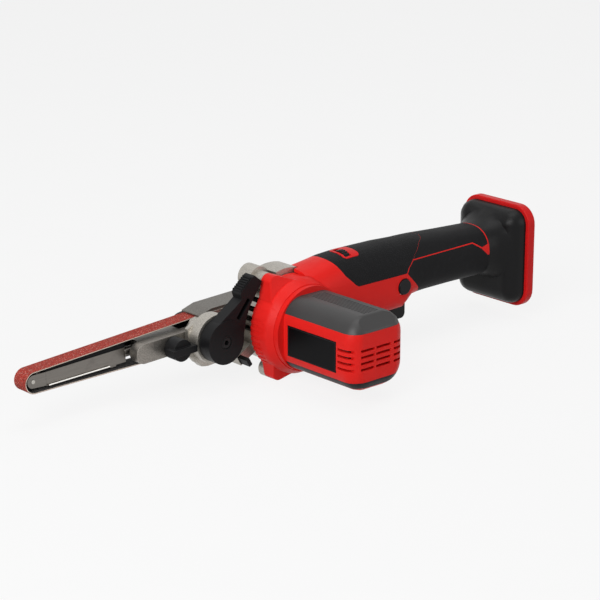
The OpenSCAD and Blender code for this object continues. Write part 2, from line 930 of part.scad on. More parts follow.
module cover_screws() {
    color(steel) on_arm() for (s = post_shares) translate([-s * lever_x, 0, 0]) {
        rod(cover_far - cover_screw_len + over, cover_far + back_plate_t, cover_screw_r);
        rod(cover_far + back_plate_t, cover_far + back_plate_t + cover_screw_r, 2 * cover_screw_r);
    }
}

module arm_bar() {
    color(steel) on_arm() difference() {
        union() {
            block([-bar_reach + bar_h / 2, bar_y, -bar_h / 2], [-bar_root, bar_far, bar_h / 2]);
            translate([-bar_reach + bar_h / 2, 0, 0]) rod(bar_y, bar_far, bar_h / 2);
            block([-guide_front, bar_far - over, -guide_half], [-guide_rear, guide_far, guide_half]);
        }
        translate([0, guide_mid_y, 0]) bar_x(-guide_front - over, -bore_end, tongue_r + run_fit);
        translate([-knob_x, 0, knob_z]) rod(0, bar_y + knob_stem + over, knob_stem_r + run_fit);
    }
}

module loop(d) {
    hull() {
        circle(r = loop_in_pulley + d);
        translate([-arm_reach, 0]) circle(r = loop_in_tip + d);
    }
}

module abrasive_belt() {
    color([0.66, 0.27, 0.22]) on_arm() slab(belt_y, belt_far) difference() {
        loop(belt_t);
        loop(0);
    }
}

module tension_spring() {
    color(steel) on_arm() translate([-tongue_end + seat_gap, guide_mid_y, 0]) rotate([0, 90, 0])
        coil(tongue_r - 2 * spring_wire, spring_wire, tongue_end - bore_end - 2 * seat_gap, 7);
}

// Arm tip, sliding on the arm bar

module platen() {
    color(steel) on_arm() {
        slab(platen_y, platen_far)
            polygon([[-platen_front, platen_high], [-platen_rear, platen_high],
                     [-platen_rear, -platen_low], [-platen_rear - lug_from, -platen_low],
                     [-platen_rear - lug_from, -platen_low - platen_step],
                     [-platen_rear - lug_to, -platen_low - platen_step],
                     [-platen_rear - lug_to - platen_step, -platen_low],
                     [-platen_front, -platen_low + platen_step / 2]]);
        // Lip along the lower edge
        slab(platen_y - lip_out, platen_y + over)
            polygon([[-platen_front + over, -platen_low + platen_step / 2 + lip_set],
                     [-platen_rear - lug_to - platen_step, -platen_low + lip_set],
                     [-platen_rear - lug_to - platen_step, -platen_low + lip_set + lip_t],
                     [-platen_front + over, -platen_low + platen_step / 2 + lip_set + lip_t]]);
        translate([0, guide_mid_y, 0]) bar_x(-platen_rear - over, -tongue_end, tongue_r);
    }
}

// Flat strip on the platen's far face that keeps the tip upright beside the guide
module slide_tail() {
    color(black) on_arm() slab(platen_far + seat_gap, platen_far + seat_gap + tail_t)
        polygon([[-platen_rear - lug_to, -tail_low], [-tail_rear, -tail_low],
                 [-tail_rear, loop_half(platen_rear) - tail_gap],
                 [-platen_rear - lug_to, loop_half(platen_rear + lug_to) - tail_gap]]);
}

module platen_pad() {
    color(black) on_arm() slab(platen_y + free_gap, platen_far - free_gap)
        polygon([[-platen_front, platen_high], [-platen_front, loop_half(platen_front) - pad_gap],
                 [-platen_rear, loop_half(platen_rear) - pad_gap], [-platen_rear, platen_high]]);
}

module fork_cheek(y) {
    slab(y, y + fork_t) hull() {
        translate([-arm_reach, 0]) circle(r = fork_eye, $fn = 2 * hull_fn);
        polygon([[-platen_front - seat_gap, platen_high], [-platen_front - over, platen_high],
                 [-platen_front - over, -platen_low + platen_step],
                 [-platen_front - seat_gap, -platen_low + platen_step]]);
    }
}

module tip_fork() {
    color(steel) on_arm() difference() {
        union() {
            fork_cheek(platen_y);
            fork_cheek(fork_far - fork_t);
            block([-arm_reach + tip_r + over, platen_y, -platen_low + platen_step],
                  [-platen_front - seat_gap, fork_far, platen_high]);
        }
        translate([-arm_reach, 0, 0]) rod(0, 2 * belt_far, tip_pin_r + seat_gap);
    }
}

module tip_pin() {
    color(silver) on_arm() translate([-arm_reach, 0, 0])
        rod(platen_y - free_gap, fork_far + free_gap / 2, tip_pin_r);
}

module tip_roller() {
    color(dark) on_arm() translate([-arm_reach, 0, 0])
        tube(platen_y + fork_t + free_gap, fork_far - fork_t - free_gap, tip_r, tip_pin_r + run_fit);
}

// Lever, with the cam it turns

module tension_lever() {
    color(black) on_arm() translate([-lever_x, 0, 0]) difference() {
        union() {
            rod(-lever_out, lever_t - lever_out, lever_hub_r);
            rod(0, head_far, stem_r);
            rotate([0, -lever_angle, 0]) {
                slab(-lever_out + over / 2, lever_t - lever_out - over / 2)
                    polygon([for (s = lever_shares) [s[0] * lever_len, s[1] * lever_hub_r]]);
                for (i = [0:rib_count - 1])
                    let (s = pad_shares[0] + (pad_shares[1] - pad_shares[0]) * i / (rib_count - 1))
                        block([s[0] * lever_len, -lever_out + over, 0],
                              [s[0] * lever_len + rib_w, lever_t - lever_out - over,
                               s[1] * lever_hub_r + rib_rise]);
            }
        }
        rotate([0, -lever_angle, 0])
            block([channel_from, -lever_out - over, channel_low],
                  [channel_to, -lever_out + lever_t / 2, channel_high]);
        rod(-lever_out - over, -lever_out + screw_sink, socket_head_r + free_gap);
        rod(-lever_out, head_far + over, lever_screw_r + seat_gap);
    }
}

module lever_screw() {
    color(black) on_arm() translate([-lever_x, 0, 0]) difference() {
        union() {
            rod(-lever_out + free_gap, -lever_out + screw_sink, socket_head_r);
            rod(-lever_out, cam_far - over, lever_screw_r);
        }
        translate([0, -lever_out - over, 0]) rotate([-90, 0, 0])
            cylinder(h = screw_sink, r = lever_screw_r * 2 / 3, $fn = 6);
    }
}

module tension_cam() {
    color(steel) on_arm() translate([-lever_x, 0, 0]) difference() {
        translate([-over, 0, 0]) rod(head_far + free_gap, cam_far, cam_r);
        rod(0, cam_far + over, lever_screw_r + seat_gap);
    }
}

module tracking_knob() {
    color(black) on_arm() translate([-knob_x, 0, knob_z]) {
        rod(knob_hub_y, bar_y - free_gap, knob_r);
        block([-knob_wing, knob_wing_y, -knob_wing_t / 2],
              [knob_wing, knob_hub_y + knob_wing_t, knob_wing_t / 2]);
        rod(bar_y - over, bar_y + knob_stem, knob_stem_r);
    }
}

module index_plunger() {
    color(black) at_motor() rotate([0, -plunger_angle, 0])
        block([plunger_at - plunger_t / 2, -plunger_out, -plunger_w / 2],
              [plunger_at + plunger_t / 2, front_len, plunger_w / 2]);
}

// Handle

function signed_pow(v, e) = sign(v) * pow(abs(v), e);

// Cross-section of one handle row at x, grown by d: a crown above and a squarer belly below
function ring(x, s, d) = [
    for (k = [0:ring_n - 1])
        let (a = 360 * (k + 0.5) / ring_n, low = sin(a) < 0, p = low ? s[4] : crown_power)
        [x, (s[3] * grip_half + d) * signed_pow(cos(a), 2 / p),
         handle_z + ((low ? s[2] * grip_down : s[1] * grip_up) + d) * signed_pow(sin(a), 2 / p)]
];

// Solid between two cross-sections
module span(a, b) {
    hull() polyhedron(concat(a, b), [for (k = [1:len(a) + len(b) - 2]) [0, k, k + 1]]);
}

// The handle's body grown by d, run past both ends
module handle_loft(d, past = 0) {
    last = len(handle_shares) - 2;
    for (i = [0:last])
        let (s = handle_shares[i], t = handle_shares[i + 1])
            span(ring(handle_front + s[0] * handle_len - (i == 0 ? past : 0), s, d),
                 ring(handle_front + t[0] * handle_len + (i == last ? past : 0), t, d));
}

// The near half (side -1) or far half (side 1) of the space
module half(side) {
    block([-motor_to_face, side < 0 ? -motor_to_face : seat_gap / 2, -motor_to_face],
          [2 * motor_to_face, side < 0 ? -seat_gap / 2 : motor_to_face, motor_to_face]);
}

function handle_point(s) = [handle_front + s[0] * handle_len, handle_z + s[1] * grip_up];

module zone(shares) {
    slab(-2 * grip_half, 2 * grip_half) polygon([for (s = shares) handle_point(s)]);
}

module bezel_zone(d) {
    translate([bezel_x, bezel_y, handle_z])
        linear_extrude(2 * grip_up)
            offset(r = bezel_r + d, $fn = hull_fn)
                square([bezel_w - 2 * bezel_r, bezel_d - 2 * bezel_r], center = true);
}

module skin(shares, side) {
    intersection() {
        difference() {
            handle_loft(0);
            handle_loft(-rubber_t, over);
        }
        zone(shares);
        half(side);
    }
}

// Room for the speed dial to turn in
module dial_room() {
    translate([dial_x, dial_y, dial_z])
        bar_x(-window_w / 2, window_w / 2, dial_r + free_gap, $fn = 2 * hull_fn);
}

module dial_window() {
    block([dial_x - window_w / 2, window_front, dial_z],
          [dial_x + window_w / 2, window_back, handle_z + 2 * grip_up]);
}

module at_shell_screws() {
    for (s = shell_screw_shares)
        translate([handle_front + s[0] * handle_len, 0, handle_z + s[1] * grip_up]) children();
}

module shell_inside(side) {
    intersection() {
        union() {
            at_shell_screws() rod(-2 * grip_half, 2 * grip_half, shell_boss_r, $fn = hull_fn);
            for (s = rib_shares) translate([handle_front + s * handle_len, 0, 0]) difference() {
                block([0, -2 * grip_half, switch_low], [rib_t, 2 * grip_half, switch_high]);
                block([-over, -switch_half - seat_gap, 0],
                      [rib_t + over, switch_half + seat_gap, 2 * switch_high]);
            }
        }
        handle_loft(-shell_t / 2);
        half(side);
    }
}

module handle_shell(side) {
    color(red) at_motor() difference() {
        union() {
            intersection() {
                difference() {
                    handle_loft(0);
                    handle_loft(-shell_t, over);
                }
                half(side);
            }
            shell_inside(side);
        }
        difference() {
            union() {
                zone(front_grip_shares);
                zone(rear_upper_shares);
                zone(rear_lower_shares);
                bezel_zone(skin_seat);
            }
            handle_loft(-rubber_t - skin_seat, over);
        }
        dial_room();
        // The near half goes round the collar, the far half round the front housing
        if (side < 0) {
            rod(-collar_len, 0, collar_r + shell_seat);
            collar_nose(shell_seat);
            rod(-pod_len, 0, collar_nose_r + shell_seat);
            at_bosses() rod(-collar_len - over, 0, boss_slim_r + free_gap);
            translate([button_x, 0, button_z]) rod(-2 * grip_half, 0, button_r + free_gap);
        } else {
            rod(0, front_len + over, front_r + free_gap);
            at_bosses() rod(0, front_len + over, boss_r + free_gap);
            block([-lug_half - free_gap, 0, 0], [lug_half + free_gap, front_len, lug_r + free_gap]);
        }
        block([trigger_front - free_gap, -trigger_w / 2 - free_gap, trigger_low],
              [trigger_rear + free_gap, trigger_w / 2 + free_gap, switch_low]);
        at_shell_screws() {
            rod(-shell_screw_len, 2 * grip_half, shell_screw_r + shell_screw_gap, $fn = hull_fn);
            rod(shell_head_y, 2 * grip_half, shell_head_r + shell_screw_gap, $fn = hull_fn);
        }
    }
}

module handle_shell_near() {
    handle_shell(-1);
}

module handle_shell_far() {
    handle_shell(1);
}

module front_grip(side) {
    color(black) at_motor() difference() {
        skin(front_grip_shares, side);
        bezel_zone(bezel_gap);
        at_shell_screws() rod(0, 2 * grip_half, shell_head_r + shell_screw_gap, $fn = hull_fn);
    }
}

module front_grip_near() {
    front_grip(-1);
}

module front_grip_far() {
    front_grip(1);
}

module rear_grip(side) {
    color(black) at_motor() difference() {
        union() {
            skin(rear_upper_shares, side);
            skin(rear_lower_shares, side);
        }
        at_shell_screws() rod(0, 2 * grip_half, shell_head_r + shell_screw_gap, $fn = hull_fn);
    }
}

module rear_grip_near() {
    rear_grip(-1);
}

module rear_grip_far() {
    rear_grip(1);
}

module dial_bezel() {
    color(red) at_motor() difference() {
        intersection() {
            handle_loft(bezel_rise);
            bezel_zone(0);
        }
        handle_loft(-rubber_t, over);
        dial_window();
        dial_room();
    }
}

module speed_dial() {
    color(black) at_motor() translate([dial_x, dial_y, dial_z]) difference() {
        bar_x(-dial_w / 2, dial_w / 2, dial_r);
        bar_x(-dial_w, dial_w, dial_pin_r + run_fit);
        for (i = [0:knurl_count - 1]) rotate([i * 360 / knurl_count, 0, 0])
            block([-dial_w, -knurl_w / 2, dial_r - knurl_w / 2], [dial_w, knurl_w / 2, dial_r + over]);
    }
}

module lock_button() {
    color(black) at_motor() translate([button_x, 0, button_z])
        rod(-button_out, -button_out + button_len, button_r);
}

module lock_spring() {
    color(steel) at_motor() translate([button_x, -button_out + button_len + seat_gap, button_z])
        rotate([-90, 0, 0])
        coil(button_r / 2, lock_wire, button_travel + lock_room - 2 * seat_gap, 2);
}

module trigger() {
    color(black) at_motor() slab(-trigger_w / 2, trigger_w / 2)
        translate([(trigger_front + trigger_rear) / 2, (trigger_low + trigger_high) / 2])
            offset(r = trigger_edge, $fn = hull_fn)
                square([trigger_rear - trigger_front - 2 * trigger_edge,
                        trigger_high - trigger_low - 2 * trigger_edge], center = true);
}

module trigger_spring() {
    color(steel) at_motor() translate([(trigger_front + trigger_rear) / 2, 0, trigger_high + seat_gap])
        coil(trigger_w / 6, spring_wire, switch_low - trigger_high - 2 * seat_gap, 4);
}

module switch_module() {
    color(dark) at_motor()
        block([switch_front, -switch_half, switch_low], [switch_rear, switch_half, switch_high]);
}

module control_board() {
    color([0.10, 0.35, 0.18]) at_motor() {
        block([switch_front, -board_half, switch_high], [board_rear, board_half, switch_high + board_t]);
        block([switch_rear + board_t, -board_half / 2, switch_high + board_t - over],
              [switch_rear + board_half, board_half / 2, switch_high + 4 * board_t]);
        block([dial_x + dial_w / 2 + free_gap, dial_y - board_half / 2, switch_high],
              [switch_front + over, dial_y + board_half / 2, switch_high + board_t]);
        translate([0, dial_y, dial_z]) bar_x(dial_x - dial_w, dial_x + dial_w, dial_pin_r);
        block([dial_x + dial_w / 2 + free_gap, dial_y - dial_pin_r, switch_high],
              [dial_x + dial_w, dial_y + dial_pin_r, dial_z]);
    }
}

module power_leads() {
    color(red) at_motor() for (side = [-1, 1]) translate([0, side * lead_y, lead_z])
        bar_x(switch_rear, motor_to_face - plate_t, lead_r);
}

module shell_screws() {
    color(steel) at_motor() at_shell_screws() {
        rod(-shell_screw_len + over, shell_head_y, shell_screw_r);
        rod(shell_head_y, shell_head_y + shell_head_t, shell_head_r);
    }
}

// Battery foot

module foot_outline(d) {
    translate([0, face_rise])
        offset(r = foot_r + d, $fn = hull_fn)
            square([foot_w - 2 * foot_r, foot_h - 2 * foot_r], center = true);
}

module foot_slab(x0, x1, d) {
    translate([x0, 0, 0]) rotate([90, 0, 90]) linear_extrude(x1 - x0) foot_outline(d);
}

// Neck and block of the foot, grown by d and run past both ends
module foot_solid(d, past = 0) {
    last = handle_shares[len(handle_shares) - 1];
    neck = foot_front + foot_round / 2 - handle_rear - seat_gap;
    for (i = [0:len(neck_shares) - 2])
        let (a = neck_shares[i], b = neck_shares[i + 1], root = handle_rear + seat_gap)
            span(ring(root + a[0] * neck - (i == 0 ? past : 0), last, d + a[1] * neck_flare),
                 ring(root + b[0] * neck, last, d + b[1] * neck_flare));
    hull() {
        for (k = pod_end_shares)
            foot_slab(foot_front - d + k[0] * foot_round, foot_front + foot_round, d - k[1] * foot_round);
        foot_slab(foot_front + foot_round, foot_back + past, d);
    }
}

module foot_half(side) {
    color(black) at_motor() intersection() {
        difference() {
            foot_solid(0);
            foot_solid(-foot_wall, over);
            lead_way();
        }
        half(side);
    }
}

// Way for the leads from the handle into the foot
module lead_way() {
    translate([0, 0, lead_z]) bar_x(handle_rear - over, foot_front + foot_round, lead_way_r);
}

module foot_near() {
    foot_half(-1);
}

module foot_far() {
    foot_half(1);
}

module foot_rim() {
    color(red) at_motor() translate([foot_back, 0, 0]) rotate([90, 0, 90])
    linear_extrude(rim_t) difference() {
        foot_outline(rim_out);
        foot_outline(-rim_in);
    }
}

module battery_plate() {
    color(black) at_motor() difference() {
        translate([motor_to_face - plate_t, 0, 0]) rotate([90, 0, 90]) linear_extrude(plate_t)
            foot_outline(-rim_in - seat_gap);
        for (side = [-1, 1]) {
            block([motor_to_face - groove_d, side * (tongue_w + groove_w) / 2 - groove_w / 2, -foot_h],
                  [motor_to_face + over, side * (tongue_w + groove_w) / 2 + groove_w / 2, foot_h]);
        }
        block([motor_to_face - groove_d, -blade_pitch - pocket_edge, terminal_z - blade_h / 2],
              [motor_to_face + over, blade_pitch + pocket_edge, terminal_z + blade_h / 2]);
    }
}

module battery_terminals() {
    color(copper) at_motor() for (i = [-1:1]) translate([0, i * blade_pitch, terminal_z])
        block([motor_to_face - groove_d, -blade_w / 2, -blade_h / 2 + over],
              [motor_to_face - over, blade_w / 2, blade_h / 2 - over]);
}

motor_housing();
pod_top_grip();
pod_lower_strip();
name_plate();
front_housing();
housing_screws();
motor_can();
magnets();
brush_plate();
carbon_brushes();
rear_bearing();
front_bearing();
motor_shaft();
armature_core();
armature_windings();
commutator();
cooling_fan();
drive_pulley();
pulley_nut();
arm_head();
arm_retainer();
belt_cover();
cover_back_plate();
cover_screws();
arm_bar();
abrasive_belt();
lever_screw();
tension_spring();
platen();
platen_pad();
slide_tail();
tip_fork();
tip_pin();
tip_roller();
tension_lever();
tension_cam();
tracking_knob();
index_plunger();
handle_shell_near();
handle_shell_far();
front_grip_near();
front_grip_far();
rear_grip_near();
rear_grip_far();
dial_bezel();
speed_dial();
lock_button();
lock_spring();
trigger();
trigger_spring();
switch_module();
control_board();
power_leads();
shell_screws();
foot_near();
foot_far();
foot_rim();
battery_plate();
battery_terminals();
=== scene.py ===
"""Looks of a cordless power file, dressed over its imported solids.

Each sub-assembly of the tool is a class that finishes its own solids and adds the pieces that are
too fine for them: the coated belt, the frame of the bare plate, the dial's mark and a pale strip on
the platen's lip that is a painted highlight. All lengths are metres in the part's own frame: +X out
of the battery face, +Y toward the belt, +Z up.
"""

from __future__ import annotations

import logging
import math
from dataclasses import dataclass
from enum import Enum
from typing import ClassVar, Mapping, Optional, Sequence, Union

import bpy
import numpy as np
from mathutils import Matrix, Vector


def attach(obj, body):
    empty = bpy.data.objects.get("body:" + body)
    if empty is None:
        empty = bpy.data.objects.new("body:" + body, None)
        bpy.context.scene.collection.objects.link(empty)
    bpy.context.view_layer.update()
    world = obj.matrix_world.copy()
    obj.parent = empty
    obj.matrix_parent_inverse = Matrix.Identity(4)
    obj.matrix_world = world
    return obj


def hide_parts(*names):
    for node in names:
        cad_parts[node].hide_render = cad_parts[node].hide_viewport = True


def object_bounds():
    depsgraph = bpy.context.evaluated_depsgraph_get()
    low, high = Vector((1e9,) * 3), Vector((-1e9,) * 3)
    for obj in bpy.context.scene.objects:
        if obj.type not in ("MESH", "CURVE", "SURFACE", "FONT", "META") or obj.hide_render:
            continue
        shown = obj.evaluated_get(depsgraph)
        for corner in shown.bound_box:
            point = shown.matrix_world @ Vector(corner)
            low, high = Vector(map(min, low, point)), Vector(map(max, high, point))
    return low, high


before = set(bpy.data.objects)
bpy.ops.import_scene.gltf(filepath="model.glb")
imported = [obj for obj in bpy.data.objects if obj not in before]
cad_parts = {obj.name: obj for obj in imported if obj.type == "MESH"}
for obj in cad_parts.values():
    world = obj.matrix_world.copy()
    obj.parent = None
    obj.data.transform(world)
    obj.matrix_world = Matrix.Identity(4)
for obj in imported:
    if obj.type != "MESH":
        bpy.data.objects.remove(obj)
CAD_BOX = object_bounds()

Colour = tuple[float, float, float]
Point = tuple[float, float, float]
Axes = tuple[float, float, float]
Span = tuple[float, float]
Value = Union["Signal", float, Colour]
Key = Union[str, int]

LOG = logging.getLogger("power_file")
MM = 0.001
HALF = 0.5
WHITE: Colour = (1.0, 1.0, 1.0)
NO_TURN: Axes = (0.0, 0.0, 0.0)

# Octaves of finer noise, from plain to busy
FEW, SOME, MANY, MOST = 2.0, 3.0, 4.0, 5.0

# Where the arm turns, as X and Z, and how far it is pitched
MOTOR_AXIS: Span = (-219.0 * MM, -10.5 * MM)
ARM_PITCH = math.radians(2.0)

# How the solids' meshes are joined and their edges softened
JOIN_GAP = 0.002 * MM
FLAT_ANGLE = math.radians(0.6)
BEVEL_ANGLE = math.radians(38.0)
BEVEL_STEPS = 2

# Points round a half-round profile, and the name of a mesh's UV map
ARCH_POINTS = 7
UV_NAME = "Run"


class Signal:
    """A shader socket that adds Math nodes when it is used in a sum."""

    def __init__(self, graph: "Graph", socket: bpy.types.NodeSocket) -> None:
        """Keeps the socket and the graph that it belongs to."""
        self.graph = graph
        self.socket = socket

    def _math(self, operation: str, first: Value, second: Value = 0.0) -> "Signal":
        """Adds one Math node.

        Args:
            operation: Blender's name of the operation.
            first: First value or signal.
            second: Second value or signal, where the operation has one.

        Returns:
            The node's result.
        """
        return self.graph.add("ShaderNodeMath", {"operation": operation}, {0: first, 1: second})

    def __add__(self, other: Value) -> "Signal":
        """This plus other."""
        return self._math("ADD", self, other)

    def __sub__(self, other: Value) -> "Signal":
        """This minus other."""
        return self._math("SUBTRACT", self, other)

    def __mul__(self, other: Value) -> "Signal":
        """This times other."""
        return self._math("MULTIPLY", self, other)

    def __radd__(self, other: Value) -> "Signal":
        """Other plus this."""
        return self._math("ADD", other, self)

    def __rsub__(self, other: Value) -> "Signal":
        """Other minus this."""
        return self._math("SUBTRACT", other, self)

    def __abs__(self) -> "Signal":
        """Size without sign."""
        return self._math("ABSOLUTE", self)

    def sine(self) -> "Signal":
        """Sine of an angle in radians."""
        return self._math("SINE", self)

    def above(self, edge: float) -> "Signal":
        """One where this is greater than the edge, else zero."""
        return self._math("GREATER_THAN", self, edge)

    def swing(self, size: float) -> "Signal":
        """Swing about zero, by up to half the size either way, of a signal from zero to one."""
        return (self - HALF) * size

    def ramp(self, low: float, high: float) -> "Signal":
        """Smooth step from zero at low to one at high.

        Args:
            low: Value at which the step begins.
            high: Value at which it ends.

        Returns:
            A signal from zero to one.
        """
        return self.graph.add("ShaderNodeMapRange",
                              {"interpolation_type": "SMOOTHSTEP", "clamp": True},
                              {"Value": self, "From Min": low, "From Max": high})


class Graph:
    """The node tree of one material."""

    NOISE_ROUGHNESS = 0.55
    CELL_RANDOMNESS = 0.85
    # Numbers of the Mix node's sockets when it mixes colours
    MIX_FACTOR, MIX_FIRST, MIX_SECOND, MIX_COLOUR = 0, 6, 7, 2

    def __init__(self, name: str) -> None:
        """Starts an empty material.

        Args:
            name: Name of the material.
        """
        self.material = bpy.data.materials.new(name)
        self.material.use_nodes = True
        self.tree = self.material.node_tree
        self.tree.nodes.clear()
        self.place = self.add("ShaderNodeTexCoord", out="Object")

    def add(self, kind: str, settings: Optional[Mapping[str, object]] = None,
            inputs: Optional[Mapping[Key, Value]] = None, out: Key = 0) -> Signal:
        """Adds a node, sets it up, and feeds its sockets.

        Args:
            kind: Blender's type name of the node.
            settings: Attributes of the node, set first.
            inputs: Values or signals by socket name or number.
            out: Name or number of the wanted output.

        Returns:
            The wanted output.
        """
        node = self.tree.nodes.new(kind)
        for key, value in (settings or {}).items():
            setattr(node, key, value)
        for key, value in (inputs or {}).items():
            self._feed(node.inputs[key], value)
        return Signal(self, node.outputs[out])

    def _feed(self, socket: bpy.types.NodeSocket, value: Value) -> None:
        """Links a signal to a socket, or sets the socket's own value."""
        if isinstance(value, Signal):
            self.tree.links.new(value.socket, socket)
        elif isinstance(value, tuple):
            socket.default_value = (*value, 1.0)[:len(socket.default_value)]
        else:
            socket.default_value = value

    def noise(self, size: float, detail: float = FEW, at: Optional[Signal] = None) -> Signal:
        """Soft noise from about 0.25 to 0.75.

        Args:
            size: Size of its blots in metres.
            detail: Octaves of finer noise.
            at: Coordinates; the object's own where left out.

        Returns:
            The noise.
        """
        return self.add("ShaderNodeTexNoise", None,
                        {"Vector": at or self.place, "Scale": 1.0 / size, "Detail": detail,
                         "Roughness": self.NOISE_ROUGHNESS})

    def streaks(self, scale: Axes, detail: float, turn: Axes = NO_TURN) -> Signal:
        """Noise drawn out along one axis.

        Args:
            scale: Blots in a metre along each axis.
            detail: Octaves of finer noise.
            turn: Angles by which the scaled coordinates are turned.

        Returns:
            The noise.
        """
        at = self.add("ShaderNodeMapping", None,
                      {"Vector": self.place, "Scale": scale, "Rotation": turn})
        return self.noise(1.0, detail, at)

    def cells(self, size: float, out: str = "Distance") -> Signal:
        """Voronoi cells: distance to the middle, or a colour for each cell.

        Args:
            size: Size of a cell in metres.
            out: Name of the wanted output.

        Returns:
            The wanted output.
        """
        return self.add("ShaderNodeTexVoronoi", {"feature": "F1"},
                        {"Vector": self.place, "Scale": 1.0 / size,
                         "Randomness": self.CELL_RANDOMNESS}, out)

    def along(self, axis: str, at: Optional[Signal] = None) -> Signal:
        """One coordinate of a vector; of the object's own place where none is given."""
        return self.add("ShaderNodeSeparateXYZ", None, {"Vector": at or self.place}, axis)

    def mix(self, first: Value, second: Value, factor: Signal) -> Signal:
        """Colour that goes from first to second as the factor goes from zero to one."""
        return self.add("ShaderNodeMix", {"data_type": "RGBA"},
                        {self.MIX_FACTOR: factor, self.MIX_FIRST: first, self.MIX_SECOND: second},
                        self.MIX_COLOUR)

    def bump(self, height: Signal, depth: float, normal: Optional[Signal] = None) -> Signal:
        """Bends the normal by a height.

        Args:
            height: Height from zero to one.
            depth: Depth in metres of a height of one.
            normal: Normal that is bent already, where there is one.

        Returns:
            The normal.
        """
        inputs: dict[Key, Value] = {"Height": height, "Distance": depth, "Strength": 1.0}
        if normal is not None:
            inputs["Normal"] = normal
        return self.add("ShaderNodeBump", None, inputs, "Normal")

    def surface(self, **sockets: Value) -> None:
        """Ends the tree with a Principled shader; a socket's spaces are written as underscores."""
        inputs = {key.replace("_", " "): value for key, value in sockets.items()}
        shader = self.add("ShaderNodeBsdfPrincipled", None, inputs)
        self.add_output(shader)

    def seen(self) -> Signal:
        """One for rays from the camera and for those that gloss or glass send on, else zero."""
        camera = self.add("ShaderNodeLightPath", out="Is Camera Ray")
        outputs = camera.socket.node.outputs
        glossy = Signal(self, outputs["Is Glossy Ray"])
        through = Signal(self, outputs["Is Transmission Ray"])
        return camera + glossy + through

    def add_output(self, shader: Signal) -> None:
        """Joins a shader to the material's surface."""
        node = self.tree.nodes.new("ShaderNodeOutputMaterial")
        self.tree.links.new(shader.socket, node.inputs["Surface"])


class Sky(Graph):
    """The node tree of the world, which has neither a material nor a place on an object."""

    def __init__(self, name: str) -> None:
        """Starts an empty world and makes it the scene's.

        Args:
            name: Name of the world.
        """
        world = bpy.data.worlds.new(name)
        bpy.context.scene.world = world
        world.use_nodes = True
        self.tree = world.node_tree
        self.tree.nodes.clear()

    def add_output(self, shader: Signal) -> None:
        """Joins a shader to the world's surface."""
        node = self.tree.nodes.new("ShaderNodeOutputWorld")
        self.tree.links.new(shader.socket, node.inputs["Surface"])


def shade(colour: Colour, by: float) -> Colour:
    """The colour made lighter or darker by a factor."""
    return tuple(min(1.0, channel * by) for channel in colour)


@dataclass(frozen=True)
class Finish:
    """What every finish has: a name, a colour and a roughness."""

    name: str
    colour: Colour
    roughness: float

    def material(self) -> bpy.types.Material:
        """The finish's material, made on first use."""
        known = bpy.data.materials.get(self.name)
        if known is not None:
            return known
        graph = Graph(self.name)
        self.paint(graph)
        return graph.material

    def paint(self, graph: Graph) -> None:
        """Draws the finish; each kind of finish has its own."""
        raise NotImplementedError

    def between(self, graph: Graph, tones: Span, factor: Signal) -> Signal:
        """The finish's colour, shaded from the first tone to the second as the factor rises."""
        return graph.mix(shade(self.colour, tones[0]), shade(self.colour, tones[1]), factor)

    def toward(self, graph: Graph, colour: Signal, tone: float, factor: Signal) -> Signal:
        """A colour that goes over to one shade of the finish's own as the factor rises."""
        return graph.mix(colour, shade(self.colour, tone), factor)


@dataclass(frozen=True)
class Moulded(Finish):
    """Moulded plastic: spark-eroded grain, slow drift of tone and gloss, faint rubbed patches."""

    grain: float = 0.45 * MM
    depth: float = 0.035 * MM
    drift: float = 0.10
    shine: float = 0.4
    drift_size: float = 28 * MM
    drift_gloss: float = 0.10
    grain_gloss: float = 0.16
    rub_size: float = 9 * MM
    rub_edge: Span = (0.52, 0.68)
    rub_gloss: float = 0.07

    def paint(self, graph: Graph) -> None:
        """Grain bends the normal, slow noise moves the tone, and rubbed patches take gloss."""
        slow = graph.noise(self.drift_size, SOME)
        fine = graph.noise(self.grain, SOME)
        rubbed = graph.noise(self.rub_size, MANY).ramp(*self.rub_edge)
        tone = self.between(graph, (1.0 - self.drift, 1.0 + self.drift), slow)
        rough = (self.roughness + slow.swing(self.drift_gloss) + fine.swing(self.grain_gloss)
                 - rubbed * self.rub_gloss)
        graph.surface(Base_Color=tone, Roughness=rough, Normal=graph.bump(fine, self.depth),
                      Specular_IOR_Level=self.shine)


@dataclass(frozen=True)
class SoftSkin(Finish):
    """Rubber skin: fine matt grain, with raised dots where the hand closes."""

    dot: float = 0.0
    dot_depth: float = 0.16 * MM
    dot_edge: Span = (0.12, 0.5)
    # Painted highlight on the dots: how far their round tops are lightened, and by what share
    dot_highlight_tone: float = 1.9
    dot_highlight_share: float = 0.25
    grain: float = 0.35 * MM
    grain_depth: float = 0.03 * MM
    grain_gloss: float = 0.1
    drift_size: float = 22 * MM
    drift_gloss: float = 0.12
    dust_size: float = 3.5 * MM
    dust_edge: Span = (0.5, 0.75)
    dust_tone: float = 1.7
    dust_share: float = 0.6
    shine: float = 0.10

    def paint(self, graph: Graph) -> None:
        """Dots are the tops of round cells, each top a painted highlight; dust lightens where noise
        is high.
        """
        slow = graph.noise(self.drift_size, SOME)
        fine = graph.noise(self.grain, FEW)
        dust = graph.noise(self.dust_size, MOST).ramp(*self.dust_edge)
        normal = graph.bump(fine, self.grain_depth)
        rough = self.roughness + slow.swing(self.drift_gloss) + fine.swing(self.grain_gloss)
        tone = self.between(graph, (1.0, self.dust_tone), dust * self.dust_share)
        if self.dot:
            round_top = 1.0 - graph.cells(self.dot).ramp(*self.dot_edge)
            normal = graph.bump(round_top, self.dot_depth, normal)
            # Painted highlight: the dots' round tops are painted lighter than the skin
            tone = self.toward(graph, tone, self.dot_highlight_tone, round_top * self.dot_highlight_share)
        graph.surface(Base_Color=tone, Roughness=rough, Normal=normal,
                      Specular_IOR_Level=self.shine)


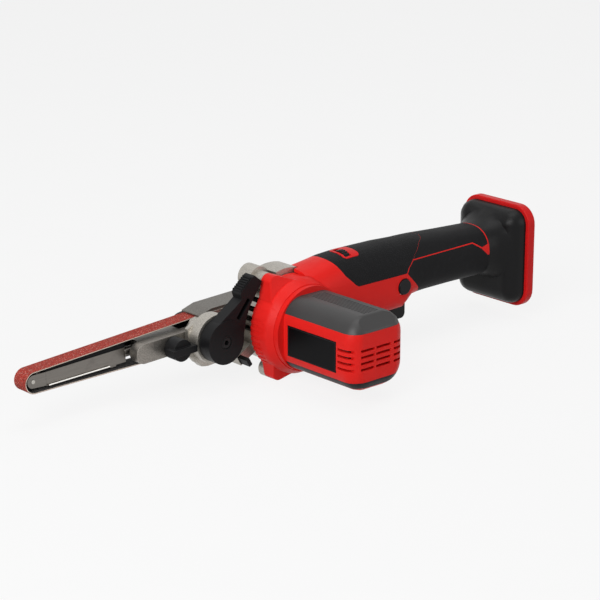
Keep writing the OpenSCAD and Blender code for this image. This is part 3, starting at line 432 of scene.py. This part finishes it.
@dataclass(frozen=True)
class RibbedSkin(Finish):
    """Soft skin with fine ribs that run along the pod: painted highlight on crests, shade in
    grooves.
    """

    pitch: float = 2.0 * MM
    crest: float = -222.6 * MM
    middle: float = -218.1 * MM
    width: float = 6.6 * MM
    fade: float = 1.5 * MM
    crown_z: Span = (11.6 * MM, 14.2 * MM)
    end_y: Span = (-85 * MM, -82 * MM)
    rib_depth: float = 0.16 * MM
    # Painted highlight on the rib crests over painted shade in the grooves: tone lift and its share
    rib_painted_light: float = 2.6
    rib_painted_share: float = 0.6
    grain: float = 0.4 * MM
    grain_depth: float = 0.03 * MM
    grain_gloss: float = 0.15
    drift_size: float = 20 * MM
    drift_tones: Span = (0.86, 1.14)
    shine: float = 0.4

    def paint(self, graph: Graph) -> None:
        """The ribs' height is a sine of X, highest at the crest; it fades past the ribs' ends."""
        across = graph.along("X")
        beside = abs(across - self.middle).ramp(self.width, self.width + self.fade)
        crown = graph.along("Z").ramp(*self.crown_z) * (1.0 - beside)
        end = graph.along("Y").ramp(*self.end_y)
        turn = (across - self.crest) * (2 * math.pi / self.pitch) + math.pi / 2
        wave = (turn.sine() * HALF + HALF) * crown * end
        fine = graph.noise(self.grain, SOME)
        slow = graph.noise(self.drift_size)
        tone = self.between(graph, self.drift_tones, slow)
        # Painted light and shade: crests lighter, grooves darker, following the rib wave
        tone = self.toward(graph, tone, self.rib_painted_light, wave * self.rib_painted_share)
        normal = graph.bump(wave, self.rib_depth, graph.bump(fine, self.grain_depth))
        graph.surface(Base_Color=tone, Roughness=self.roughness + fine.swing(self.grain_gloss),
                      Normal=normal, Specular_IOR_Level=self.shine)


@dataclass(frozen=True)
class CastMetal(Finish):
    """Blasted casting: open grain, darker in its pits, with a few scuffs."""

    metallic: float = 0.9
    grain: float = 0.7 * MM
    depth: float = 0.06 * MM
    coarse_size: float = 2.4 * MM
    coarse_gloss: float = 0.22
    coarse_height: float = 0.3
    fine_height: float = 0.7
    pit_edge: Span = (0.38, 0.6)
    pit_tones: Span = (0.78, 1.12)
    scuff_scale: Axes = (60.0, 700.0, 900.0)
    scuff_turn: Axes = (0.1, 0.5, 0.2)
    scuff_edge: Span = (0.63, 0.74)
    scuff_tone: float = 1.3
    scuff_share: float = 0.4
    scuff_gloss: float = 0.1

    def paint(self, graph: Graph) -> None:
        """Two sizes of noise make the blasted skin, and stretched noise the scuffs."""
        coarse = graph.noise(self.coarse_size, SOME)
        fine = graph.noise(self.grain, MANY)
        scuff = graph.streaks(self.scuff_scale, SOME, self.scuff_turn).ramp(*self.scuff_edge)
        tone = self.between(graph, self.pit_tones, fine.ramp(*self.pit_edge))
        tone = self.toward(graph, tone, self.scuff_tone, scuff * self.scuff_share)
        rough = self.roughness + coarse.swing(self.coarse_gloss) - scuff * self.scuff_gloss
        height = fine * self.fine_height + coarse * self.coarse_height
        graph.surface(Base_Color=tone, Roughness=rough, Metallic=self.metallic,
                      Normal=graph.bump(height, self.depth))


@dataclass(frozen=True)
class DrawnSteel(Finish):
    """Bright metal with the fine lines of its rolling or turning."""

    metallic: float = 1.0
    lines: Axes = (40.0, 2600.0, 2600.0)
    line_tones: Span = (0.82, 1.15)
    line_gloss: float = 0.2
    line_depth: float = 0.008 * MM
    stain_size: float = 7 * MM
    stain_edge: Span = (0.55, 0.8)
    stain_tone: float = 0.7
    stain_share: float = 0.6
    stain_gloss: float = 0.15

    def paint(self, graph: Graph) -> None:
        """Noise that is stretched along one axis makes the lines; slow noise stains the metal."""
        brushed = graph.streaks(self.lines, FEW)
        stain = graph.noise(self.stain_size, MANY)
        tone = self.between(graph, self.line_tones, brushed)
        tone = self.toward(graph, tone, self.stain_tone,
                           stain.ramp(*self.stain_edge) * self.stain_share)
        rough = self.roughness + brushed.swing(self.line_gloss) + stain.swing(self.stain_gloss)
        graph.surface(Base_Color=tone, Roughness=rough, Metallic=self.metallic,
                      Normal=graph.bump(brushed, self.line_depth))


@dataclass(frozen=True)
class Grit(Finish):
    """Coated abrasive: packed grains on cloth, some fresh and light, some worn dark."""

    grain: float = 0.42 * MM
    grain_depth: float = 0.22 * MM
    grain_tones: Span = (0.40, 1.40)
    grain_gloss: float = 0.2
    fresh_colour: Colour = (0.62, 0.36, 0.30)
    fresh_above: float = 0.93
    fresh_share: float = 0.6
    worn_size: float = 6 * MM
    worn_edge: Span = (0.5, 0.75)
    worn_tone: float = 0.5
    worn_share: float = 0.35
    shine: float = 0.2

    def paint(self, graph: Graph) -> None:
        """Each Voronoi cell is a grain with its own tone; slow noise is where the belt worked."""
        grains = graph.cells(self.grain, "Color")
        seed = graph.add("ShaderNodeSeparateColor", None, {"Color": grains}, "Red")
        tone = self.between(graph, self.grain_tones, seed)
        tone = graph.mix(tone, self.fresh_colour, seed.above(self.fresh_above) * self.fresh_share)
        worn = graph.noise(self.worn_size, MANY).ramp(*self.worn_edge)
        tone = self.toward(graph, tone, self.worn_tone, worn * self.worn_share)
        height = 1.0 - graph.cells(self.grain)
        graph.surface(Base_Color=tone, Roughness=self.roughness + seed.swing(self.grain_gloss),
                      Normal=graph.bump(height, self.grain_depth), Specular_IOR_Level=self.shine)


@dataclass(frozen=True)
class Weave(Finish):
    """Cloth of warp and weft threads on the belt's inner side, read from the belt's own UV map."""

    thread: float = 0.5 * MM
    thread_depth: float = 0.08 * MM
    weft_shift: float = 1.57
    blot_size: float = 4 * MM
    blot_tones: Span = (0.7, 1.5)

    def paint(self, graph: Graph) -> None:
        """Two sines of the run and the width, a quarter turn apart, stand for warp and weft."""
        uv = graph.add("ShaderNodeUVMap", {"uv_map": UV_NAME})
        run = graph.along("X", uv)
        wide = graph.along("Y", uv)
        turn = 2 * math.pi / self.thread
        warp = abs((run * turn).sine())
        weft = abs((wide * turn + self.weft_shift).sine())
        height = warp * HALF + weft * HALF
        blot = graph.noise(self.blot_size, MANY)
        tone = self.between(graph, self.blot_tones, height * blot)
        graph.surface(Base_Color=tone, Roughness=self.roughness,
                      Normal=graph.bump(height, self.thread_depth))


@dataclass(frozen=True)
class Plate(Finish):
    """Smooth dark plate with hair scratches."""

    hair_scale: Axes = (900.0, 70.0, 1200.0)
    hair_turn: Axes = (0.6, 0.0, 0.3)
    hair_edge: Span = (0.66, 0.74)
    hair_gloss: float = 0.18
    cloud_size: float = 12 * MM
    cloud_tones: Span = (0.85, 1.5)
    cloud_gloss: float = 0.08
    shine: float = 0.08

    def paint(self, graph: Graph) -> None:
        """Hair scratches are thin lines of stretched noise that dull the plate."""
        hair = graph.streaks(self.hair_scale, FEW, self.hair_turn).ramp(*self.hair_edge)
        cloud = graph.noise(self.cloud_size, SOME)
        tone = self.between(graph, self.cloud_tones, cloud)
        rough = self.roughness + hair * self.hair_gloss + cloud.swing(self.cloud_gloss)
        graph.surface(Base_Color=tone, Roughness=rough, Specular_IOR_Level=self.shine)


class Tone(Enum):
    """The finishes that this tool has."""

    RED = Moulded("red_moulding", (0.66, 0.014, 0.011), 0.42, shine=0.12)
    RED_TRIM = Moulded("red_trim", (0.56, 0.010, 0.010), 0.40, grain=0.4 * MM,
                       depth=0.02 * MM, drift=0.06, shine=0.12)
    BLACK = Moulded("black_moulding", (0.0062, 0.0062, 0.0068), 0.44, grain=0.5 * MM,
                    depth=0.04 * MM, drift=0.18, shine=0.14)
    FOOT = Moulded("foot_moulding", (0.0058, 0.0058, 0.0062), 0.38, grain=0.6 * MM,
                   depth=0.03 * MM, drift=0.16, shine=0.14)
    RUBBER = SoftSkin("smooth_rubber", (0.0058, 0.0058, 0.0064), 0.58)
    DOTTED = SoftSkin("dotted_rubber", (0.0058, 0.0058, 0.0064), 0.60, dot=1.25 * MM)
    RIBBED = RibbedSkin("ribbed_skin", (0.026, 0.025, 0.025), 0.46)
    CAST = CastMetal("blasted_casting", (0.42, 0.395, 0.355), 0.40)
    BAR = CastMetal("blasted_bar", (0.25, 0.232, 0.208), 0.38, metallic=0.92,
                    grain=0.6 * MM, depth=0.04 * MM)
    COVER = CastMetal("grey_sheet", (0.155, 0.145, 0.13), 0.44, metallic=0.75,
                      grain=0.8 * MM, depth=0.03 * MM)
    STEEL = DrawnSteel("rolled_steel", (0.19, 0.176, 0.160), 0.36)
    BRIGHT = DrawnSteel("turned_steel", (0.48, 0.46, 0.42), 0.28, lines=(2600.0, 40.0, 2600.0))
    # Painted highlight: near-white steel for the strip that stands in for the glint on the platen's
    # lip
    LIP_HIGHLIGHT = DrawnSteel("painted_highlight_steel", (0.86, 0.84, 0.80), 0.30)
    BLACKED = DrawnSteel("blacked_steel", (0.014, 0.014, 0.015), 0.42, metallic=0.6)
    FERRITE = CastMetal("ferrite", (0.06, 0.06, 0.062), 0.6, metallic=0.2)
    COPPER = DrawnSteel("copper", (0.62, 0.27, 0.12), 0.32)
    BOARD = Moulded("solder_mask", (0.02, 0.11, 0.04), 0.34)
    LEAD = Moulded("lead_jacket", (0.48, 0.02, 0.02), 0.42)
    PLATE = Plate("bare_plate", (0.0016, 0.0016, 0.0020), 0.34)
    GRIT = Grit("belt_grit", (0.34, 0.040, 0.028), 0.78)
    CLOTH = Weave("belt_cloth", (0.012, 0.010, 0.0095), 0.88)
    EDGE = Moulded("belt_edge", (0.60, 0.52, 0.44), 0.8)
    GRAPHITE = SoftSkin("graphite_pad", (0.010, 0.010, 0.0105), 0.68)
    MARK = Moulded("pale_mark", (0.62, 0.61, 0.58), 0.45)


@dataclass
class Surface:
    """Points of a surface on a grid, with what is needed to make it a mesh."""

    points: np.ndarray
    closed_u: bool = False
    closed_v: bool = False
    capped: bool = False
    uv: Optional[np.ndarray] = None
    slots: Optional[np.ndarray] = None

    def faces(self) -> tuple[np.ndarray, list[list[int]]]:
        """Quads between neighbouring grid points, and the two end caps where it is capped.

        Returns:
            The quads as rows of point numbers, and the caps as lists of point numbers.
        """
        rows, columns = self.points.shape[:2]
        index = np.arange(rows * columns).reshape(rows, columns)
        if self.closed_u:
            index = np.vstack([index, index[:1]])
        if self.closed_v:
            index = np.hstack([index, index[:, :1]])
        quads = np.stack([index[:-1, :-1], index[1:, :-1], index[1:, 1:], index[:-1, 1:]], -1)
        quads = quads.reshape(-1, 4)
        caps: list[list[int]] = []
        if self.capped:
            caps = [index[0, :columns].tolist(), index[rows - 1, :columns][::-1].tolist()]
        return quads, caps

    def mesh(self, name: str, smooth_angle: float = 35.0) -> bpy.types.Object:
        """Makes the object, smooth but for edges sharper than an angle.

        Args:
            name: Name of the object.
            smooth_angle: Angle in degrees past which an edge stays sharp.

        Returns:
            The linked object.
        """
        quads, caps = self.faces()
        data = bpy.data.meshes.new(name)
        data.from_pydata(self.points.reshape(-1, 3).tolist(), [], quads.tolist() + caps)
        data.polygons.foreach_set("use_smooth", np.ones(len(data.polygons), bool))
        if self.slots is not None:
            ids = np.concatenate([self.slots.reshape(-1), np.zeros(len(caps), int)])
            data.polygons.foreach_set("material_index", ids.astype(np.int32))
        if self.uv is not None:
            corner = np.empty(len(data.loops), np.int32)
            data.loops.foreach_get("vertex_index", corner)
            layer = data.uv_layers.new(name=UV_NAME)
            places = self.uv.reshape(-1, 2)[corner].astype(np.float32)
            layer.data.foreach_set("uv", places.reshape(-1))
        data.update()
        data.set_sharp_from_angle(angle=math.radians(smooth_angle))
        made = bpy.data.objects.new(name, data)
        bpy.context.scene.collection.objects.link(made)
        return made


def swept(path: np.ndarray, out: np.ndarray, side: np.ndarray, profile: np.ndarray) -> np.ndarray:
    """Profile carried along a path, with its height along out and its width along side.

    Args:
        path: Points of the path, one row each.
        out: Direction of the profile's height, the same all along or one row each.
        side: Direction of the profile's width, the same all along or one row each.
        profile: Rows of height and width.

    Returns:
        Grid of points, path by profile.
    """
    out = np.broadcast_to(out, path.shape)
    side = np.broadcast_to(side, path.shape)
    height = profile[None, :, :1] * out[:, None]
    width = profile[None, :, 1:] * side[:, None]
    return path[:, None] + height + width


def arch_profile(rise: float, half: float, sink: float) -> np.ndarray:
    """Profile of a low arch on a sunk foot.

    Args:
        rise: Height of the arch.
        half: Half of its width.
        sink: Depth of the foot under it.

    Returns:
        Rows of height and width.
    """
    turn = np.linspace(0.0, np.pi, ARCH_POINTS)
    arch = np.stack([np.sin(turn) * rise, np.cos(turn) * half], -1)
    return np.vstack([arch, [[-sink, -half], [-sink, half]]])


def arm_points(local: np.ndarray) -> np.ndarray:
    """Points given along the arm, turned by the arm's pitch and set on the motor axis.

    Args:
        local: Points with X from the pulley (negative toward the tip), Y as in the part, and Z
            across the arm.

    Returns:
        The points in the part's frame.
    """
    c, s = math.cos(ARM_PITCH), math.sin(ARM_PITCH)
    turned = np.array([[c, 0.0, s], [0.0, 1.0, 0.0], [-s, 0.0, c]])
    return local @ turned + np.array([MOTOR_AXIS[0], 0.0, MOTOR_AXIS[1]])


def put(piece: bpy.types.Object, body: str, slot: str, tones: Sequence[Tone], *nodes: str) -> None:
    """Gives a new piece its finishes and body.

    Args:
        piece: The new object.
        body: CAD body that it moves with.
        slot: Name of a record slot; not used.
        tones: Finishes in the order of the mesh's material numbers.
        nodes: CAD nodes that it stands for, if any.
    """
    for tone in tones:
        piece.data.materials.append(tone.value.material())
    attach(piece, body)
    if nodes:
        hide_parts(*nodes)
    LOG.info("%s rides on %s", piece.name, body)


def soften(solid: bpy.types.Object, edge: float) -> None:
    """Joins a solid's faces and softens its edges by modifiers.

    Args:
        solid: The CAD object.
        edge: Width of the bevel on its edges; zero leaves them as they are.
    """
    weld = solid.modifiers.new("joined", "WELD")
    weld.merge_threshold = JOIN_GAP
    flat = solid.modifiers.new("flat_faces", "DECIMATE")
    flat.decimate_type = "DISSOLVE"
    flat.angle_limit = FLAT_ANGLE
    if edge:
        bevel = solid.modifiers.new("soft_edges", "BEVEL")
        bevel.width = edge
        bevel.segments = BEVEL_STEPS
        bevel.limit_method = "ANGLE"
        bevel.angle_limit = BEVEL_ANGLE
        bevel.use_clamp_overlap = True
    normal = solid.modifiers.new("even_light", "WEIGHTED_NORMAL")
    normal.mode = "FACE_AREA_WITH_ANGLE"
    normal.keep_sharp = False


def dress(node: str, tone: Tone, edge: float = 0.0, soft: bool = True) -> None:
    """Gives a solid its finish and, where wanted, soft edges.

    Args:
        node: Name of the CAD node.
        tone: Its finish.
        edge: Width of the bevel on its edges; zero leaves them as they are.
        soft: Whether its faces are joined and its edges softened; else it keeps its flat faces.
    """
    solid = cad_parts[node]
    solid.data.materials.clear()
    solid.data.materials.append(tone.value.material())
    if soft:
        soften(solid, edge)
    LOG.info("%s dressed in %s", node, tone.value.name)


# Node, finish and bevel in millimetres of each solid
SolidTable = tuple[tuple[str, Tone, float], ...]


class SubAssembly:
    """A group of solids that are finished together, with the pieces added to them."""

    SOLIDS: ClassVar[SolidTable] = ()

    def build(self) -> None:
        """Finishes the solids and adds the pieces."""
        for node, tone, edge in self.SOLIDS:
            dress(node, tone, edge * MM)
        self.add_pieces()

    def add_pieces(self) -> None:
        """Adds the pieces that the solids are too plain for; none unless the group has its own."""


@dataclass
class MotorPod(SubAssembly):
    """Red pod with its skins and bare plate, the slotted front housing, and the motor inside."""

    SOLIDS: ClassVar[SolidTable] = (
        ("motor_housing", Tone.RED, 0.45), ("pod_top_grip", Tone.RIBBED, 0.35),
        ("pod_lower_strip", Tone.BLACK, 0.35), ("name_plate", Tone.PLATE, 0.2),
        ("front_housing", Tone.CAST, 0.4), ("housing_screws", Tone.BRIGHT, 0.2),
        ("motor_can", Tone.STEEL, 0.0), ("magnets", Tone.FERRITE, 0.0),
        ("brush_plate", Tone.BLACK, 0.0), ("carbon_brushes", Tone.FERRITE, 0.0),
        ("rear_bearing", Tone.BRIGHT, 0.0), ("front_bearing", Tone.BRIGHT, 0.0),
        ("motor_shaft", Tone.BRIGHT, 0.0), ("armature_core", Tone.STEEL, 0.0),
        ("armature_windings", Tone.COPPER, 0.0), ("commutator", Tone.COPPER, 0.0),
        ("cooling_fan", Tone.BLACK, 0.0), ("index_plunger", Tone.BLACK, 0.3))

    plate_face: float = -244.06 * MM
    plate_y: Span = (-76.5 * MM, -28.0 * MM)
    plate_z: Span = (-23.5 * MM, -1.5 * MM)
    border: float = 0.55 * MM
    border_rise: float = 0.22 * MM
    border_sink: float = 0.1 * MM
    border_inset: float = 0.9 * MM
    corner_r: float = 1.2 * MM
    path_points: int = 64
    sharp_past: float = 60.0

    def add_pieces(self) -> None:
        """Thin raised frame: a low arch carried round a rectangle with round corners."""
        middle = np.array([np.mean(self.plate_y), np.mean(self.plate_z)])
        half = np.array([np.ptp(self.plate_y), np.ptp(self.plate_z)]) / 2
        half = half - self.border_inset - self.corner_r
        turn = np.linspace(0.0, 2 * np.pi, self.path_points, endpoint=False)
        turn = turn + np.pi / self.path_points
        out = np.stack([np.cos(turn), np.sin(turn)], -1)
        flat = middle + np.sign(out) * half + out * self.corner_r
        path = np.stack([np.full(len(turn), self.plate_face), flat[:, 0], flat[:, 1]], -1)
        side = np.stack([np.zeros(len(turn)), out[:, 0], out[:, 1]], -1)
        profile = arch_profile(self.border_rise, self.border / 2, self.border_sink)
        grid = swept(path, np.array([-1.0, 0.0, 0.0]), side, profile)
        surface = Surface(grid[::-1], closed_u=True, closed_v=True)
        piece = surface.mesh("plate_frame", self.sharp_past)
        put(piece, "base", "black_plastic", [Tone.BLACK])


@dataclass
class BeltArm(SubAssembly):
    """The arm that turns on the housing: head, cover, bar, sliding tip and the belt round them."""

    SOLIDS: ClassVar[SolidTable] = (
        ("arm_head", Tone.CAST, 0.5), ("arm_retainer", Tone.BRIGHT, 0.0),
        ("belt_cover", Tone.COVER, 0.3), ("cover_back_plate", Tone.BLACK, 0.4),
        ("cover_screws", Tone.BRIGHT, 0.2), ("arm_bar", Tone.BAR, 0.5),
        ("tension_spring", Tone.BRIGHT, 0.0), ("platen_pad", Tone.GRAPHITE, 0.15),
        ("slide_tail", Tone.BLACK, 0.15), ("tip_fork", Tone.STEEL, 0.2),
        ("tip_pin", Tone.BRIGHT, 0.2), ("tip_roller", Tone.BLACK, 0.3),
        ("drive_pulley", Tone.BRIGHT, 0.3), ("pulley_nut", Tone.BRIGHT, 0.3))
    GRIT_SLOT: ClassVar[int] = 0
    CLOTH_SLOT: ClassVar[int] = 1
    EDGE_SLOT: ClassVar[int] = 2

    reach: float = 196.0 * MM
    pulley_mid: float = 13.0 * MM
    tip_mid: float = 7.2 * MM
    belt_y: Span = (28.0 * MM, 41.0 * MM)
    belt_t: float = 1.0 * MM
    belt_round: float = 0.22 * MM
    stretch_points: int = 64
    width_points: int = 3
    corner_points: int = 4
    lip_x: Span = (-184.4 * MM, -134.2 * MM)
    lip_z: Span = (-5.04 * MM, -5.54 * MM)
    lip_y: float = 29.1 * MM
    lip_half: float = 0.44 * MM
    lip_rise: float = 0.1 * MM
    lip_sink: float = 0.6 * MM
    lip_points: int = 9
    lip_sharp_past: float = 50.0

    def add_pieces(self) -> None:
        """Finishes the flat platen, makes the belt and lays a painted highlight along the platen's
        lip.
        """
        dress("platen", Tone.STEEL, soft=False)
        self._belt()
        self._lip_highlight()

    def _lip_highlight(self) -> None:
        """Painted highlight on the lip's edge: a pale low arch carried along the lip's near face.
        """
        step = np.linspace(0.0, 1.0, self.lip_points)[:, None]
        start = np.array([[self.lip_x[0], self.lip_y, self.lip_z[0]]])
        end = np.array([[self.lip_x[1], self.lip_y, self.lip_z[1]]])
        path = start + step * (end - start)
        profile = arch_profile(self.lip_rise, self.lip_half, self.lip_sink)
        grid = swept(path, np.array([0.0, -1.0, 0.0]), np.array([0.0, 0.0, 1.0]), profile)
        surface = Surface(arm_points(grid)[::-1], closed_v=True, capped=True)
        # The strip's pale finish is a painted highlight, not wear
        piece = surface.mesh("platen_lip_highlight", self.lip_sharp_past)
        put(piece, "tip", "steel", [Tone.LIP_HIGHLIGHT])

    def _run(self) -> tuple[np.ndarray, np.ndarray, np.ndarray]:
        """Middle line of the belt: two arcs and the two straight runs that touch them.

        The upper run's outward direction is tilted toward the tip by the angle whose sine is the
        difference of the radii over the reach; the lower run mirrors it.

        Returns:
            Points and outward directions along the arm, and the distance run.
        """
        count = self.stretch_points
        lean = math.asin((self.pulley_mid - self.tip_mid) / self.reach)
        up = math.pi / 2 + lean
        step = np.linspace(0.0, 1.0, count, endpoint=False)
        tip_turn = up + step * (2 * math.pi - 2 * up)
        pulley_turn = -up + step * 2 * up
        angles = np.concatenate([np.full(count, up), tip_turn, np.full(count, -up), pulley_turn])
        radius = np.concatenate([self.pulley_mid + step * (self.tip_mid - self.pulley_mid),
                                 np.full(count, self.tip_mid),
                                 self.tip_mid + step * (self.pulley_mid - self.tip_mid),
                                 np.full(count, self.pulley_mid)])
        centre = np.concatenate([-self.reach * step, np.full(count, -self.reach),
                                 -self.reach * (1.0 - step), np.zeros(count)])
        out = np.stack([np.cos(angles), np.zeros_like(angles), np.sin(angles)], -1)
        path = out * radius[:, None]
        path[:, 0] += centre
        length = np.linalg.norm(np.diff(np.vstack([path, path[:1]]), axis=0), axis=1)
        return path, out, np.concatenate([[0.0], np.cumsum(length)[:-1]])

    def _section(self) -> tuple[np.ndarray, np.ndarray]:
        """Section of the belt: a thin rectangle with round corners.

        Returns:
            Rows of height and width, and the material number of the face after each row.
        """
        half_t = self.belt_t / 2
        half_w = (self.belt_y[1] - self.belt_y[0]) / 2
        turn = np.linspace(np.pi / 2, 0.0, self.corner_points)
        corner = np.stack([half_t - self.belt_round + self.belt_round * np.sin(turn),
                           half_w - self.belt_round + self.belt_round * np.cos(turn)], -1)
        flat_w = half_w - self.belt_round
        width = np.linspace(-flat_w, flat_w, self.width_points + 2)[1:-1]
        outer = np.stack([np.full(len(width), half_t), width], -1)
        profile = np.vstack([outer, corner, corner[::-1] * [-1.0, 1.0], outer[::-1] * [-1.0, 1.0],
                             corner * [-1.0, -1.0], corner[::-1] * [1.0, -1.0]])
        gritty = len(outer) + len(corner) - 1
        inner = len(outer) + 2 * len(corner) - 1
        slots = np.array([self.GRIT_SLOT] * gritty + [self.EDGE_SLOT] + [self.CLOTH_SLOT] * inner
                         + [self.EDGE_SLOT] + [self.GRIT_SLOT] * len(corner))
        return profile, slots

    def _belt(self) -> None:
        """Belt: its section carried round the run, with grit, cloth and edge finishes."""
        path, out, run = self._run()
        profile, slots = self._section()
        path = path + np.array([0.0, sum(self.belt_y) / 2, 0.0])
        grid = swept(path, out, np.array([0.0, 1.0, 0.0]), profile)
        uv = np.stack(np.broadcast_arrays(run[:, None], profile[None, :, 1]), -1)
        surface = Surface(arm_points(grid)[::-1], closed_u=True, closed_v=True, uv=uv[::-1],
                          slots=np.tile(slots, (len(path), 1)))
        tones = [Tone.GRIT, Tone.CLOTH, Tone.EDGE]
        put(surface.mesh("belt_loop"), "arm", "abrasive", tones, "abrasive_belt")


@dataclass
class TensionLever(SubAssembly):
    """Thumb lever with its screw and cam, and the winged tracking knob."""

    SOLIDS: ClassVar[SolidTable] = (
        ("tension_lever", Tone.BLACK, 0.6), ("lever_screw", Tone.BLACKED, 0.25),
        ("tension_cam", Tone.STEEL, 0.0), ("tracking_knob", Tone.BLACK, 0.5))


@dataclass
class Handle(SubAssembly):
    """Red shells with their rubber skins, and the dial, button and trigger in them."""

    SOLIDS: ClassVar[SolidTable] = (
        ("handle_shell_near", Tone.RED, 0.3), ("handle_shell_far", Tone.RED, 0.3),
        ("front_grip_near", Tone.DOTTED, 0.03), ("front_grip_far", Tone.DOTTED, 0.03),
        ("rear_grip_near", Tone.RUBBER, 0.03), ("rear_grip_far", Tone.RUBBER, 0.03),
        ("dial_bezel", Tone.RED_TRIM, 0.3), ("speed_dial", Tone.BLACK, 0.15),
        ("lock_button", Tone.BLACK, 0.9), ("lock_spring", Tone.BRIGHT, 0.0),
        ("trigger", Tone.BLACK, 0.8), ("trigger_spring", Tone.BRIGHT, 0.0),
        ("switch_module", Tone.BLACK, 0.0), ("control_board", Tone.BOARD, 0.0),
        ("power_leads", Tone.LEAD, 0.0), ("shell_screws", Tone.BLACKED, 0.2))

    dial: Point = (-170.6 * MM, -2.8 * MM, 23.8 * MM)
    dial_r: float = 8.5 * MM
    mark_turn: float = math.radians(22.5)
    mark_half_turn: float = math.radians(3.4)
    mark_half: float = 1.9 * MM
    mark_rise: float = 0.05 * MM
    mark_sink: float = 0.3 * MM
    mark_points: int = 5

    def add_pieces(self) -> None:
        """Pale bar across the dial: a flat profile carried along a short arc of its rim."""
        step = np.linspace(-1.0, 1.0, self.mark_points)
        turn = self.mark_turn + step * self.mark_half_turn
        out = np.stack([np.zeros_like(turn), np.sin(turn), np.cos(turn)], -1)
        path = np.array(self.dial) + out * self.dial_r
        profile = np.array([[self.mark_rise, -self.mark_half], [self.mark_rise, self.mark_half],
                            [-self.mark_sink, self.mark_half], [-self.mark_sink, -self.mark_half]])
        grid = swept(path, out, np.array([1.0, 0.0, 0.0]), profile)
        piece = Surface(grid[::-1], closed_v=True, capped=True).mesh("dial_mark")
        put(piece, "dial", "black_plastic", [Tone.MARK])


@dataclass
class BatteryFoot(SubAssembly):
    """Black foot halves, the red rim and the plate that takes the battery."""

    SOLIDS: ClassVar[SolidTable] = (
        ("foot_near", Tone.FOOT, 0.5), ("foot_far", Tone.FOOT, 0.5),
        ("foot_rim", Tone.RED_TRIM, 1.0), ("battery_plate", Tone.BLACK, 0.4),
        ("battery_terminals", Tone.COPPER, 0.1))


@dataclass(frozen=True)
class Lamp:
    """Square soft box: its name, its place, the length of its side and its power in watts."""

    name: str
    place: Point
    size: float
    power: float

    def light(self, target: Vector) -> None:
        """Makes the lamp, facing the target.

        Args:
            target: Point that it faces.
        """
        data = bpy.data.lights.new(self.name, "AREA")
        data.size = self.size
        data.energy = self.power
        lamp = bpy.data.objects.new(self.name, data)
        lamp.location = Vector(self.place)
        lamp.rotation_euler = (target - lamp.location).to_track_quat("-Z", "Y").to_euler()
        bpy.context.scene.collection.objects.link(lamp)


@dataclass
class Studio:
    """Pale floor, soft light and the camera at the photograph's place."""

    target: Point = (-209.67 * MM, -2.53 * MM, 3.34 * MM)
    azimuth: float = math.radians(-42.0)
    elevation: float = math.radians(17.5)
    distance: float = 1.5
    lens: float = 128.4
    sensor: float = 36.0
    clip_end: float = 50.0
    lamps: tuple[Lamp, ...] = (Lamp("key", (-1.35, -0.45, 0.75), 0.9, 18.0),
                               Lamp("sky", (-0.15, 0.05, 1.30), 1.0, 7.0),
                               Lamp("fill", (0.50, -1.20, 0.40), 0.9, 3.4))
    floor_half: float = 6.0
    floor_points: int = 3
    floor_grey: Colour = (0.52, 0.52, 0.52)
    floor_lift: float = 1.08
    floor_speck: float = 0.05
    floor_white: float = 0.86
    sky_seen: float = 0.70
    sky_light: float = 0.20

    def build(self) -> None:
        """Makes camera, floor, lamps and world."""
        self._camera()
        self._floor()
        for lamp in self.lamps:
            lamp.light(Vector(self.target))
        self._world()
        bpy.context.scene.view_settings.view_transform = "Standard"

    def _camera(self) -> None:
        """Camera at an azimuth and elevation from the target."""
        flat = math.cos(self.elevation)
        back = Vector((math.sin(self.azimuth) * flat, -math.cos(self.azimuth) * flat,
                       math.sin(self.elevation)))
        data = bpy.data.cameras.new("camera")
        data.lens = self.lens
        data.sensor_width = self.sensor
        data.clip_end = self.clip_end
        camera = bpy.data.objects.new("camera", data)
        camera.location = Vector(self.target) + back * self.distance
        camera.rotation_euler = (-back).to_track_quat("-Z", "Y").to_euler()
        bpy.context.scene.collection.objects.link(camera)
        bpy.context.scene.camera = camera

    def _floor(self) -> None:
        """Pale floor under the lowest point, shown near white but with the tool's shadow."""
        low = CAD_BOX[0][2]
        line = np.linspace(-self.floor_half, self.floor_half, self.floor_points)
        u, v = np.meshgrid(line, line, indexing="ij")
        floor = Surface(np.stack([u, v, np.full_like(u, low)], -1)).mesh("floor")
        graph = Graph("pale_floor")
        speck = graph.noise(self.floor_speck)
        pale = graph.mix(self.floor_grey, shade(self.floor_grey, self.floor_lift), speck)
        matt = graph.add("ShaderNodeBsdfDiffuse", None, {"Color": pale})
        white = graph.add("ShaderNodeEmission", None, {"Color": WHITE, "Strength": 1.0})
        share = graph.seen() * self.floor_white
        graph.add_output(graph.add("ShaderNodeMixShader", None, {0: share, 1: matt, 2: white}))
        floor.data.materials.append(graph.material)

    def _world(self) -> None:
        """Even pale light from all round, seen as the floor's pale tone."""
        sky = Sky("studio")
        strength = sky.seen() * self.sky_seen + self.sky_light
        light = sky.add("ShaderNodeBackground", None, {"Color": WHITE, "Strength": strength})
        sky.add_output(light)


def main() -> None:
    """Builds the studio and the tool's sub-assemblies in order."""
    logging.basicConfig(level=logging.INFO, format="%(name)s: %(message)s")
    for part in (Studio(), MotorPod(), BeltArm(), TensionLever(), Handle(), BatteryFoot()):
        part.build()
        LOG.info("%s is built", type(part).__name__)


if __name__ == "__main__":
    main()
